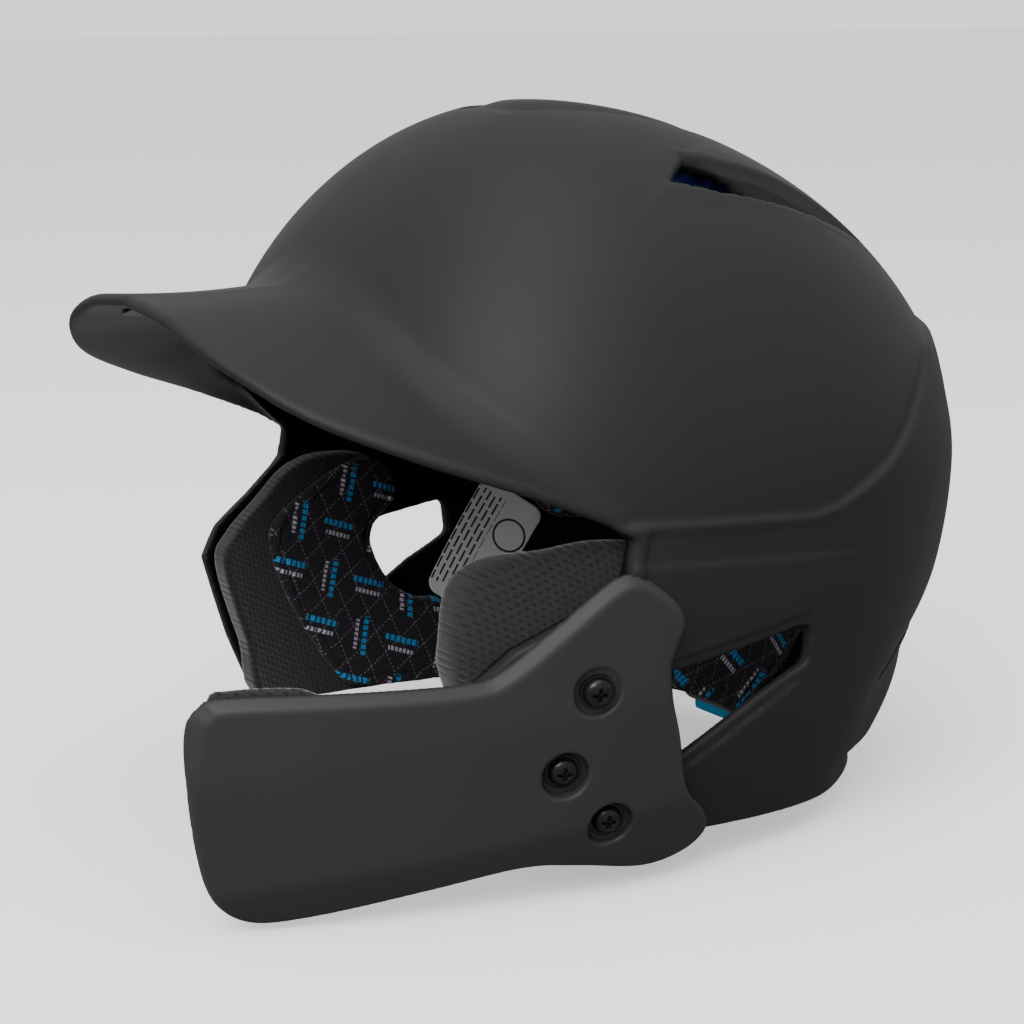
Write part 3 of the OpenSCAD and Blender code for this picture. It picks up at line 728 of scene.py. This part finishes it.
PAD_FACE = 4.1
BASE_T = 9.0
COVER_T = 6.0
POCKET_R = 8.2
LEFT_BASE = np.array([
    [-31, -3], [-49, -6], [-60, -11], [-67, -20], [-70, -32], [-68, -43], [-60, -62], [-51, -84],
    [8, -87], [16, -72], [-4, -74], [-25, -76], [-31, -58], [-28, -36], [-4, -31], [0, -10],
])
RIGHT_BASE = np.array([
    [-20, -11], [-34, -14], [-46, -22.5], [-59, -31], [-65, -39], [-59, -64], [-52.5, -83],
    [13, -87], [17, -74], [15, -64], [4, -60], [-5, -53], [-10, -44], [-9, -35], [-1, -27], [-2, -14],
])
LEFT_COVER = np.array([
    [-14, -13], [-38, -15], [-47, -22], [-48, -34], [-42, -54], [-32, -80], [-8, -85], [10, -84],
    [13, -70], [-12, -73], [-27, -64], [-30, -46], [-24, -35], [-4, -28], [0, -20],
])
RIGHT_COVER = np.array([
    [-10, -12.5], [-33, -21.5], [-46, -31], [-44, -47], [-35, -66], [-26, -80], [-18, -84.5],
    [13, -86], [18, -74], [17, -62], [7, -59.5], [-1, -54], [-6.5, -43.5], [-6, -35.5], [3, -26.5],
    [1, -17],
])


def smooth_outline(pts, shrink=0.0):
    return Outline(spline(pts, 5, closed=True), round_r=-shrink, step=0.5)


def box_outline(node, axes, r):
    """Rounded rectangle round a CAD node, in the plane of two axes."""
    low, high = cad_box(node)
    mid = (low + high)[axes] / 2
    half = (high - low)[axes] / 2 - r

    def distance(u, v):
        du = np.abs(u - mid[0]) - half[0]
        dv = np.abs(v - mid[1]) - half[1]
        return np.hypot(np.maximum(du, 0), np.maximum(dv, 0)) + np.minimum(np.maximum(du, dv), 0) - r
    return distance


def gathers(u, v, edge, seam):
    """Small puckers that cross the seam and fade away from it, over a gently uneven face."""
    along = np.sin(1.1 * u + 0.6 * np.sin(0.4 * v)) * np.sin(0.9 * v + 0.5 * np.sin(0.5 * u))
    uneven = np.sin(0.21 * u + 1.0) * np.sin(0.17 * v)
    return 0.35 * along * np.exp(-((edge + seam) / 3.5) ** 2) + 0.3 * uneven


def pad_field(outline, axes, depth, t, round_k, side=0, seam=0.0, plump=1.0):
    """Cushion that follows the shell from inside, crowned and pulled in along its edges."""
    def field(p):
        u, v = p[:, axes[0]], p[:, axes[1]]
        inset = -dome_distance(p) - inner_sink(np.abs(p[:, 0]), p[:, 1], p[:, 2]) - depth
        edge = outline(u, v)
        crown = plump * (ease(-edge / 12) - 0.6)
        top = inset - t - crown
        if seam:
            top = top + 1.1 * np.exp(-((edge + seam) / 0.8) ** 2) - gathers(u, v, edge, seam)
        body = smooth_max(smooth_max(-inset, top, round_k * 0.6), edge, round_k)
        return np.maximum(body, 10 - side * p[:, 0]) if side else body
    return field


def nape_field(bottom, depth, t, seam):
    """One layer of the nape pad, kept behind the head."""
    layer = pad_field(nape_outline(bottom), XZ, depth, t, 1.2, seam=seam, plump=0.3)
    return lambda p: np.maximum(layer(p), 20 - p[:, 1])


def left_base_field(p):
    """Left ear pad base: a fat roll in front of the ear, thinner under its cover."""
    y = p[:, 1]
    inset = -dome_distance(p) - PAD_FACE
    edge = left_base_outline(y, p[:, 2])
    t = BASE_T + 4.5 * ease((-y - 44) / 14)
    body = smooth_max(smooth_max(-inset, inset - t, 4.0), edge, 6.5)
    for at, direction in SEATS.values():
        behind = inset - 5.0
        pocket = np.maximum(axis_distance(p, at, direction) - POCKET_R, behind)
        body = smooth_max(body, -pocket, 0.8)
    return np.maximum(body, 10 - p[:, 0])


left_base_outline = smooth_outline(LEFT_BASE)
right_base_outline = smooth_outline(RIGHT_BASE)
YZ, XZ, XY = [1, 2], [0, 2], [0, 1]
# Nape pad from behind, as [x, z], and its layers from the shell inwards: thickness, lower edge
NAPE_HALF = np.array([[46, -35], [34, -62], [14, -90], [10, -100]])
NAPE_LAYERS = (
    ("backing", 12.0, -93.4), ("foam", 4.0, -92.8), ("middle", 3.0, -89.2), ("cover", 4.5, -86.2),
)


def nape_outline(bottom):
    """Outline that tapers towards the rim and stops at a lower edge."""
    sides = Outline(np.concatenate([NAPE_HALF, NAPE_HALF[::-1] * [-1, 1]]), step=0.5)
    return lambda x, z: smooth_max(sides(x, z), bottom - z, 2.0)


def pad_fields():
    """Every liner pad: the CAD node it stands for and its field."""
    fields = {
        "left_ear_pad_base": left_base_field,
        "right_ear_pad_base": pad_field(right_base_outline, YZ, PAD_FACE, BASE_T, 2.4, side=-1, plump=0.6),
        "front_pad_base": pad_field(box_outline("front_pad_base", XZ, 9), XZ, PAD_FACE, 7, 4),
        "front_pad_cover": pad_field(box_outline("front_pad_cover", XZ, 8), XZ, 11.6, 4.6, 4, seam=4),
    }
    for side, name, cover in ((1, "left", LEFT_COVER), (-1, "right", RIGHT_COVER)):
        fields[name + "_ear_pad_cover"] = pad_field(
            smooth_outline(cover), YZ, PAD_FACE + BASE_T + 0.3, COVER_T, 3.4, side=side, seam=3.2)
        node = name + "_side_pad"
        fields[node] = pad_field(box_outline(node, YZ, 9), YZ, PAD_FACE, 12, 6, side=side, seam=5)
    for node in ("crown_front_pad", "crown_rear_pad"):
        fields[node] = pad_field(box_outline(node, XY, 12), XY, PAD_FACE, 10, 5, seam=5)
    depth = PAD_FACE
    for layer, t, bottom in NAPE_LAYERS:
        fields["nape_pad_" + layer] = nape_field(bottom, depth, t, 4 if layer == "cover" else 0)
        depth += t + 0.15
    return fields


PAD_VOXELS = {"nape": 0.9, "ear": 1.0}


def build_pads():
    pads = {}
    for node, field in pad_fields().items():
        low, high = cad_box(node)
        voxel = PAD_VOXELS["nape"] if node.startswith("nape") else PAD_VOXELS["ear"]
        if "crown" in node or "front_pad" in node or "side" in node:
            voxel = 1.5
        pts, quads = field_mesh(field, low - 9, high + 9, voxel)
        pads[node] = make_object(node + "_foam", pts, quads, "shell", node)
    return pads


# ---------------------------------------------------------------- labels

FITTING_LABEL = np.array([[44.6, -25.4], [64, -39.6], [37.9, -75.1], [18.5, -60.8]])
LABEL_T = 0.4


def fitting_field(p):
    inset = -dome_distance(p) - SHELL_T - 0.15
    edge = fitting_outline(p[:, 1], p[:, 2])
    body = smooth_max(np.abs(inset - LABEL_T / 2) - LABEL_T / 2, edge, 0.2)
    return np.maximum(body, 10 + p[:, 0])


def brim_label_field(p):
    top = brim_height(p)[0]
    low, high = cad_box("brim_label")
    under = (top - BRIM_T + 0.1 - p[:, 2]) * 0.92
    du = np.abs(p[:, 0]) - high[0] + 5
    dv = np.abs(p[:, 1] - (low[1] + high[1]) / 2) - (high[1] - low[1]) / 2 + 7
    edge = np.hypot(np.maximum(du, 0), np.maximum(dv, 0)) + np.minimum(np.maximum(du, dv), 0) - 4
    return smooth_max(np.abs(under - LABEL_T / 2) - LABEL_T / 2, edge, 0.2)


fitting_outline = Outline(shrink_rounded(FITTING_LABEL, 4.0), round_r=4.0, step=0.4)


def build_labels():
    voxel = 0.3
    out = {}
    for node, field in (("fitting_label", fitting_field), ("brim_label", brim_label_field)):
        low, high = cad_box(node)
        pts, quads = field_mesh(field, low - 3, high + 3, voxel)
        out[node] = make_object(node + "_film", pts, quads, "shell", node)
    return out


# ---------------------------------------------------------------- materials

class Graph:
    """A material's node tree, with short calls for the nodes used here."""

    def __init__(self, name):
        self.material = bpy.data.materials.new(name)
        self.material.use_nodes = True
        self.tree = self.material.node_tree
        self.tree.nodes.clear()
        self.shader = self.node("ShaderNodeBsdfPrincipled")
        out = self.node("ShaderNodeOutputMaterial")
        self.tree.links.new(self.shader.outputs[0], out.inputs["Surface"])
        self.place = self.node("ShaderNodeTexCoord").outputs["Object"]

    def node(self, kind, settings=None, **inputs):
        node = self.tree.nodes.new(kind)
        for key, value in (settings or {}).items():
            setattr(node, key, value)
        for key, value in inputs.items():
            self.feed(node.inputs[key.replace("_", " ")], value)
        return node

    def feed(self, socket, value):
        if isinstance(value, bpy.types.NodeSocket):
            self.tree.links.new(value, socket)
        elif isinstance(value, tuple) and len(value) == 3 and socket.type == "RGBA":
            socket.default_value = (*value, 1.0)
        else:
            socket.default_value = value

    def math(self, operation, a, b=0.0, c=0.0):
        node = self.node("ShaderNodeMath", {"operation": operation})
        for socket, value in zip(node.inputs, (a, b, c)):
            self.feed(socket, value)
        return node.outputs[0]

    def mix(self, share, a, b):
        node = self.node("ShaderNodeMix", {"data_type": "RGBA"})
        self.feed(node.inputs[0], share)
        self.feed(node.inputs[6], a)
        self.feed(node.inputs[7], b)
        return node.outputs[2]

    def step(self, value, low, high, a=0.0, b=1.0):
        """Smooth step of a value from low to high, giving a to b."""
        node = self.node("ShaderNodeMapRange", {"interpolation_type": "SMOOTHSTEP"}, Value=value,
                         From_Min=low, From_Max=high, To_Min=a, To_Max=b)
        return node.outputs["Result"]

    def noise(self, scale, detail=2.0, vector=None):
        node = self.node("ShaderNodeTexNoise", Vector=vector or self.place, Scale=scale, Detail=detail)
        return node.outputs["Fac"]

    def cells(self, scale, vector=None, feature="F1", randomness=1.0):
        node = self.node("ShaderNodeTexVoronoi", {"feature": feature}, Vector=vector or self.place,
                         Scale=scale, Randomness=randomness)
        return node.outputs["Distance"]

    def plane(self, axes, turn=0.0):
        """Two of the frame's coordinates in millimetres, turned in their plane, as x and y."""
        split = self.node("ShaderNodeSeparateXYZ", Vector=self.place)
        u, v = (self.math("MULTIPLY", split.outputs[a], 1000.0) for a in axes)
        c, s = math.cos(turn), math.sin(turn)
        across = self.math("MULTIPLY_ADD", u, c, self.math("MULTIPLY", v, -s))
        up = self.math("MULTIPLY_ADD", u, s, self.math("MULTIPLY", v, c))
        return across, up

    def wave(self, value, pitch):
        """Triangle-like wave from 0 to 1 with a pitch in the value's units."""
        turns = self.math("MULTIPLY", value, 2 * math.pi / pitch)
        return self.math("MULTIPLY_ADD", self.math("SINE", turns), 0.5, 0.5)

    def cell_offset(self, value, pitch):
        """Offset from the middle of the value's cell, and the cell's number."""
        scaled = self.math("DIVIDE", value, pitch)
        number = self.math("FLOOR", scaled)
        offset = self.math("MULTIPLY", self.math("SUBTRACT", self.math("SUBTRACT", scaled, number), 0.5),
                           pitch)
        return offset, number

    def set(self, **inputs):
        for key, value in inputs.items():
            self.feed(self.shader.inputs[key.replace("_", " ")], value)

    def bump(self, height, distance, strength=1.0):
        node = self.node("ShaderNodeBump", Height=height, Distance=distance, Strength=strength)
        self.feed(self.shader.inputs["Normal"], node.outputs[0])

    def box_mask(self, u, v, half_u, half_v, soft=0.15):
        """1 inside a small rectangle round zero."""
        in_u = self.step(self.math("ABSOLUTE", u), half_u, half_u + soft, 1.0, 0.0)
        in_v = self.step(self.math("ABSOLUTE", v), half_v, half_v + soft, 1.0, 0.0)
        return self.math("MULTIPLY", in_u, in_v)


def shell_material():
    """Matt charcoal paint outside, gloss black moulding inside."""
    g = Graph("shell_plastic")
    outward = g.node("ShaderNodeAttribute", {"attribute_name": "outward"}).outputs["Fac"]
    outside = g.step(outward, -3.0, -2.4)
    cloud = g.noise(14.0, 4.0)
    grain = g.noise(2600.0, 2.0)
    scuffs = g.step(g.noise(90.0, 6.0), 0.62, 0.78)
    paint = g.mix(cloud, (0.0150, 0.0150, 0.0158), (0.0185, 0.0185, 0.0195))
    g.set(Base_Color=g.mix(outside, (0.008, 0.008, 0.009), paint))
    matt = g.math("MULTIPLY_ADD", scuffs, -0.05, g.math("MULTIPLY_ADD", cloud, 0.06, 0.50))
    gloss = g.math("MULTIPLY_ADD", g.noise(35.0, 5.0), 0.16, 0.22)
    g.set(Roughness=g.math("ADD", g.math("MULTIPLY", outside, matt),
                           g.math("MULTIPLY", g.math("SUBTRACT", 1.0, outside), gloss)))
    g.set(Specular_IOR_Level=g.math("MULTIPLY_ADD", outside, 0.04, 0.14))
    g.bump(g.math("MULTIPLY", grain, outside), 0.00004, 0.5)
    return g.material


def guard_material():
    g = Graph("guard_plastic")
    cloud = g.noise(18.0, 4.0)
    g.set(Base_Color=g.mix(cloud, (0.0255, 0.0255, 0.0264), (0.0310, 0.0310, 0.0320)))
    g.set(Roughness=g.math("MULTIPLY_ADD", cloud, 0.07, 0.46), Specular_IOR_Level=0.24)
    g.bump(g.noise(3000.0, 2.0), 0.00004, 0.5)
    return g.material


def steel_material(name, colour, metallic, roughness):
    g = Graph(name)
    wear = g.noise(700.0, 5.0)
    g.set(Base_Color=g.mix(wear, colour, tuple(min(1.0, c * 1.5) for c in colour)))
    g.set(Metallic=metallic, Roughness=g.math("MULTIPLY_ADD", wear, 0.2, roughness))
    g.bump(g.noise(2500.0, 3.0), 0.00003, 0.4)
    return g.material


def spacer_mesh_material(name, axes, dark, light):
    """Knitted spacer mesh: rows of staggered holes in a fuzzy face."""
    g = Graph(name)
    u, v = g.plane(axes, 0.5)
    offset_v, row = g.cell_offset(v, 1.7)
    shift = g.math("MULTIPLY", g.math("MODULO", row, 2.0), 1.1)
    offset_u, _ = g.cell_offset(g.math("ADD", u, shift), 2.2)
    reach = g.math("SQRT", g.math("ADD", g.math("MULTIPLY", g.math("POWER", offset_u, 2.0), 0.8),
                                  g.math("MULTIPLY", g.math("POWER", offset_v, 2.0), 1.6)))
    face = g.step(reach, 0.25, 0.85)
    fuzz = g.noise(2400.0, 4.0)
    strands = g.noise(900.0, 6.0)
    shade = g.math("MULTIPLY", g.math("MULTIPLY_ADD", face, 0.6, 0.4), g.step(fuzz, 0.3, 0.75, 0.45))
    g.set(Base_Color=g.mix(shade, dark, light), Roughness=0.95, Sheen_Weight=0.35)
    g.set(Sheen_Roughness=0.5, Specular_IOR_Level=0.2)
    height = g.math("ADD", g.math("MULTIPLY", face, 0.7), g.math("MULTIPLY", strands, 0.5))
    g.bump(height, 0.0003, 0.8)
    return g.material


def printed_material(name, axes, turn):
    """Black knit with a fine diamond grid and short cyan and white dashes."""
    g = Graph(name)
    u, v = g.plane(axes, turn)
    ribs = g.wave(u, 1.05)
    course = g.wave(g.math("ADD", v, g.math("MULTIPLY", ribs, 0.3)), 0.8)
    knit = g.math("MULTIPLY", ribs, course)
    lines = []
    for sign in (1.0, -1.0):
        diagonal = g.math("MULTIPLY_ADD", v, 0.8 * sign, u)
        offset, _ = g.cell_offset(diagonal, 9.0)
        broken = g.step(g.wave(g.math("MULTIPLY_ADD", u, -0.8 * sign, v), 1.9), 0.25, 0.6)
        lines.append(g.math("MULTIPLY", broken, g.step(g.math("ABSOLUTE", offset), 0.1, 0.35, 1.0, 0.0)))
    grid = g.math("MAXIMUM", *lines)
    marks = dash_marks(g, u, v)
    base = g.mix(knit, (0.008, 0.0065, 0.009), (0.034, 0.028, 0.036))
    base = g.mix(g.math("MULTIPLY", grid, 0.5), base, (0.30, 0.26, 0.33))
    fade = g.math("MULTIPLY_ADD", knit, 0.35, 0.65)
    base = g.mix(g.math("MULTIPLY", marks[0], fade), base, (0.012, 0.36, 0.80))
    base = g.mix(g.math("MULTIPLY", marks[1], fade), base, (0.66, 0.60, 0.72))
    g.set(Base_Color=base, Roughness=0.88, Sheen_Weight=0.15, Specular_IOR_Level=0.25)
    g.bump(knit, 0.00028, 0.8)
    return g.material


def dash_marks(g, u, v):
    """Masks of the cyan and the white dashes: bars in cells that alternate in direction."""
    pitch = 15.5
    lu, column = g.cell_offset(u, pitch)
    lv, row = g.cell_offset(v, pitch)
    turned = g.math("ABSOLUTE", g.math("MODULO", g.math("ADD", column, row), 2.0))
    straight = g.math("SUBTRACT", 1.0, turned)
    along = g.math("ADD", g.math("MULTIPLY", lu, straight), g.math("MULTIPLY", lv, turned))
    across = g.math("ADD", g.math("MULTIPLY", lv, straight), g.math("MULTIPLY", lu, turned))
    gaps = g.step(g.wave(along, 2.0), 0.12, 0.3)
    short_gaps = g.step(g.wave(g.math("ADD", along, 0.4), 1.5), 0.15, 0.35)
    cyan = g.math("MULTIPLY", g.box_mask(along, g.math("SUBTRACT", across, 1.6), 6.0, 0.85), gaps)
    white = g.math("MULTIPLY", g.box_mask(along, g.math("ADD", across, 1.7), 4.6, 0.6), short_gaps)
    return cyan, white


def knit_material(name, axes, low, high):
    """Plain tricot knit over foam."""
    g = Graph(name)
    u, v = g.plane(axes, 0.2)
    ribs = g.wave(u, 1.3)
    loops = g.math("MULTIPLY", ribs, g.wave(g.math("MULTIPLY_ADD", ribs, 0.4, v), 0.9))
    g.set(Base_Color=g.mix(loops, low, high), Roughness=0.85, Sheen_Weight=0.3)
    g.bump(loops, 0.0003, 0.7)
    return g.material


def foam_material(name, low, high):
    """Closed-cell foam with fine pores."""
    g = Graph(name)
    pores = g.cells(2600.0)
    cloud = g.noise(160.0, 4.0)
    g.set(Base_Color=g.mix(g.math("MULTIPLY", pores, cloud), low, high), Roughness=0.8)
    g.bump(pores, 0.00015, 0.6)
    return g.material


def stitched_material():
    """Grey foam layer with a line of stitches along its edge."""
    g = Graph("grey_foam")
    u, v = g.plane((0, 2))
    stitch = g.math("MULTIPLY", g.step(g.wave(u, 2.6), 0.3, 0.5), g.step(g.wave(v, 7.0), 0.93, 0.98))
    base = g.mix(g.noise(300.0, 4.0), (0.10, 0.10, 0.105), (0.17, 0.17, 0.175))
    g.set(Base_Color=g.mix(stitch, base, (0.55, 0.55, 0.56)), Roughness=0.85)
    g.bump(g.math("ADD", g.noise(1800.0, 3.0), stitch), 0.0003, 0.6)
    return g.material


def label_material(name, axes, turn, middle, colour):
    """Metallised film ruled with plain lines and two rings."""
    g = Graph(name)
    u, v = g.plane(axes, turn)
    u = g.math("SUBTRACT", u, middle[0])
    v = g.math("SUBTRACT", v, middle[1])
    offset, row = g.cell_offset(v, 2.1)
    ruled = g.step(g.math("ABSOLUTE", offset), 0.28, 0.42, 1.0, 0.0)
    gaps = g.step(g.wave(g.math("MULTIPLY_ADD", row, 3.7, u), 5.3), 0.06, 0.12)
    ruled = g.math("MULTIPLY", g.math("MULTIPLY", ruled, gaps), g.step(v, 1.0, 1.3))
    ruled = g.math("MULTIPLY", ruled, g.step(g.math("ABSOLUTE", u), 18.0, 18.4, 1.0, 0.0))
    ink = ruled
    for centre in (-8.5, 8.5):
        reach = g.math("SQRT", g.math("ADD", g.math("POWER", g.math("SUBTRACT", u, centre), 2.0),
                                      g.math("POWER", g.math("ADD", v, 5.5), 2.0)))
        ring = g.step(g.math("ABSOLUTE", g.math("SUBTRACT", reach, 5.4)), 0.28, 0.45, 1.0, 0.0)
        ink = g.math("MAXIMUM", ink, ring)
    g.set(Base_Color=g.mix(ink, colour, (0.03, 0.03, 0.035)))
    g.set(Roughness=g.math("MULTIPLY_ADD", g.noise(60.0, 3.0), 0.12, 0.3))
    g.bump(g.noise(500.0, 3.0), 0.00003, 0.5)
    return g.material


def dress(obj, material, slot):
    obj.data.materials.clear()
    obj.data.materials.append(material)


# ---------------------------------------------------------------- assembly

YZ_TURN, XZ_TURN = 0.35, 0.3


def dress_pads(pads):
    mesh_yz = spacer_mesh_material("mesh_foam", YZ, (0.003, 0.003, 0.003), (0.027, 0.027, 0.024))
    printed_yz = printed_material("printed_side", YZ, YZ_TURN)
    printed_xz = printed_material("printed_front", XZ, XZ_TURN)
    blue = knit_material("blue_knit", XY, (0.004, 0.03, 0.30), (0.012, 0.09, 0.75))
    light_blue = foam_material("light_blue_foam", (0.01, 0.25, 0.50), (0.03, 0.52, 0.85))
    black = foam_material("black_foam", (0.004, 0.004, 0.004), (0.016, 0.016, 0.016))
    finishes = {
        "ear_pad_base": (mesh_yz, "mesh_foam"), "ear_pad_cover": (printed_yz, "printed_fabric"),
        "side_pad": (printed_yz, "printed_fabric"), "front_pad_base": (blue, "blue_foam"),
        "front_pad_cover": (printed_xz, "printed_fabric"), "crown_front_pad": (blue, "blue_foam"),
        "crown_rear_pad": (blue, "blue_foam"), "nape_pad_backing": (black, "black_foam"),
        "nape_pad_foam": (light_blue, "light_blue_foam"),
        "nape_pad_middle": (stitched_material(), "grey_foam"),
        "nape_pad_cover": (printed_xz, "printed_fabric"),
    }
    for node, pad in pads.items():
        key = node.replace("left_", "").replace("right_", "")
        dress(pad, *finishes[key])
    return mesh_yz


def dress_carried_nodes(black_steel, zinc):
    """Materials for the CAD nodes that stay as they are."""
    for name, node in frame["nodes"].items():
        if name.endswith("_screw_washer") or name == "guard_tee_nuts":
            node.data.materials.clear()
            node.data.materials.append(zinc if name == "guard_tee_nuts" else black_steel)


def build_helmet():
    dress(build_shell(), shell_material(), "shell")
    guard, facing = build_guard()
    dress(guard, guard_material(), "guard")
    black_steel = steel_material("black_steel", (0.012, 0.012, 0.013), 0.55, 0.16)
    zinc = steel_material("zinc_steel", (0.50, 0.50, 0.49), 1.0, 0.28)
    for screw in build_screws():
        dress(screw, black_steel, "black_steel")
    dress_carried_nodes(black_steel, zinc)
    mesh_yz = dress_pads(build_pads())
    dress(facing, mesh_yz, "mesh_foam")
    labels = build_labels()
    dress(labels["fitting_label"],
          label_material("fitting_film", YZ, -0.936, (-16.0, -63.0), (0.86, 0.86, 0.88)), "label")
    dress(labels["brim_label"],
          label_material("brim_film", XY, 0.0, (0.0, -98.0), (0.035, 0.035, 0.037)), "label")


# ---------------------------------------------------------------- stage

TARGET = Vector((0.7, -4.75, -15.47)) * MM
VIEW_BACK = Vector((0.8209, -0.5291, 0.2147))
VIEW_DISTANCE = 700 * MM


def add_camera():
    camera = bpy.data.objects.new("camera", bpy.data.cameras.new("camera"))
    camera.data.sensor_width = 36.0
    camera.data.lens = 82.8
    camera.data.clip_start = 0.01
    camera.location = TARGET + VIEW_BACK * VIEW_DISTANCE
    camera.rotation_euler = VIEW_BACK.to_track_quat("Z", "Y").to_euler()
    bpy.context.scene.collection.objects.link(camera)
    bpy.context.scene.camera = camera


def add_softbox(name, azimuth, elevation, size, power, distance=1.6):
    """Area light that faces the helmet; azimuth is counted from the camera, positive to its right."""
    az = math.atan2(VIEW_BACK.y, VIEW_BACK.x) + math.radians(azimuth)
    el = math.radians(elevation)
    back = Vector((math.cos(az) * math.cos(el), math.sin(az) * math.cos(el), math.sin(el)))
    lamp = bpy.data.lights.new(name, "AREA")
    lamp.shape = "RECTANGLE"
    lamp.size, lamp.size_y = size
    lamp.energy = power
    obj = bpy.data.objects.new(name, lamp)
    obj.location = TARGET + back * distance
    obj.rotation_euler = back.to_track_quat("Z", "Y").to_euler()
    bpy.context.scene.collection.objects.link(obj)


FLOOR_GLOW = 0.55
BACKDROP_GLOW = 1.35


def add_floor():
    mesh = bpy.data.meshes.new("floor")
    half, level = 12.0, CAD_BOX[0][2] - 0.002
    corners = [(-half, -half, level), (half, -half, level), (half, half, level), (-half, half, level)]
    mesh.from_pydata(corners, [], [(0, 1, 2, 3)])
    floor = bpy.data.objects.new("floor", mesh)
    bpy.context.scene.collection.objects.link(floor)
    g = Graph("floor_paper")
    pale = g.mix(g.noise(3.0, 3.0), (0.90, 0.90, 0.90), (0.93, 0.93, 0.93))
    seen = g.node("ShaderNodeLightPath").outputs["Is Camera Ray"]
    g.set(Base_Color=g.mix(seen, (0.22, 0.22, 0.22), pale), Roughness=0.9)
    g.set(Emission_Color=(1.0, 1.0, 1.0), Emission_Strength=g.math("MULTIPLY", seen, FLOOR_GLOW))
    mesh.materials.append(g.material)


def add_world():
    """White backdrop for the camera, with a dimmer glow for everything else."""
    world = bpy.data.worlds.new("studio")
    world.use_nodes = True
    tree = world.node_tree
    seen = tree.nodes.new("ShaderNodeLightPath").outputs["Is Camera Ray"]
    strength = tree.nodes.new("ShaderNodeMapRange")
    strength.inputs["To Min"].default_value = 0.75
    strength.inputs["To Max"].default_value = BACKDROP_GLOW
    background = tree.nodes["Background"]
    background.inputs["Color"].default_value = (1.0, 1.0, 1.0, 1.0)
    tree.links.new(seen, strength.inputs["Value"])
    tree.links.new(strength.outputs["Result"], background.inputs["Strength"])
    bpy.context.scene.world = world


def add_stage():
    add_camera()
    add_softbox("key", -20, 38, (1.1, 0.9), 26)
    add_softbox("top", 10, 78, (1.3, 1.3), 13)
    add_floor()
    add_world()


build_helmet()
add_stage()
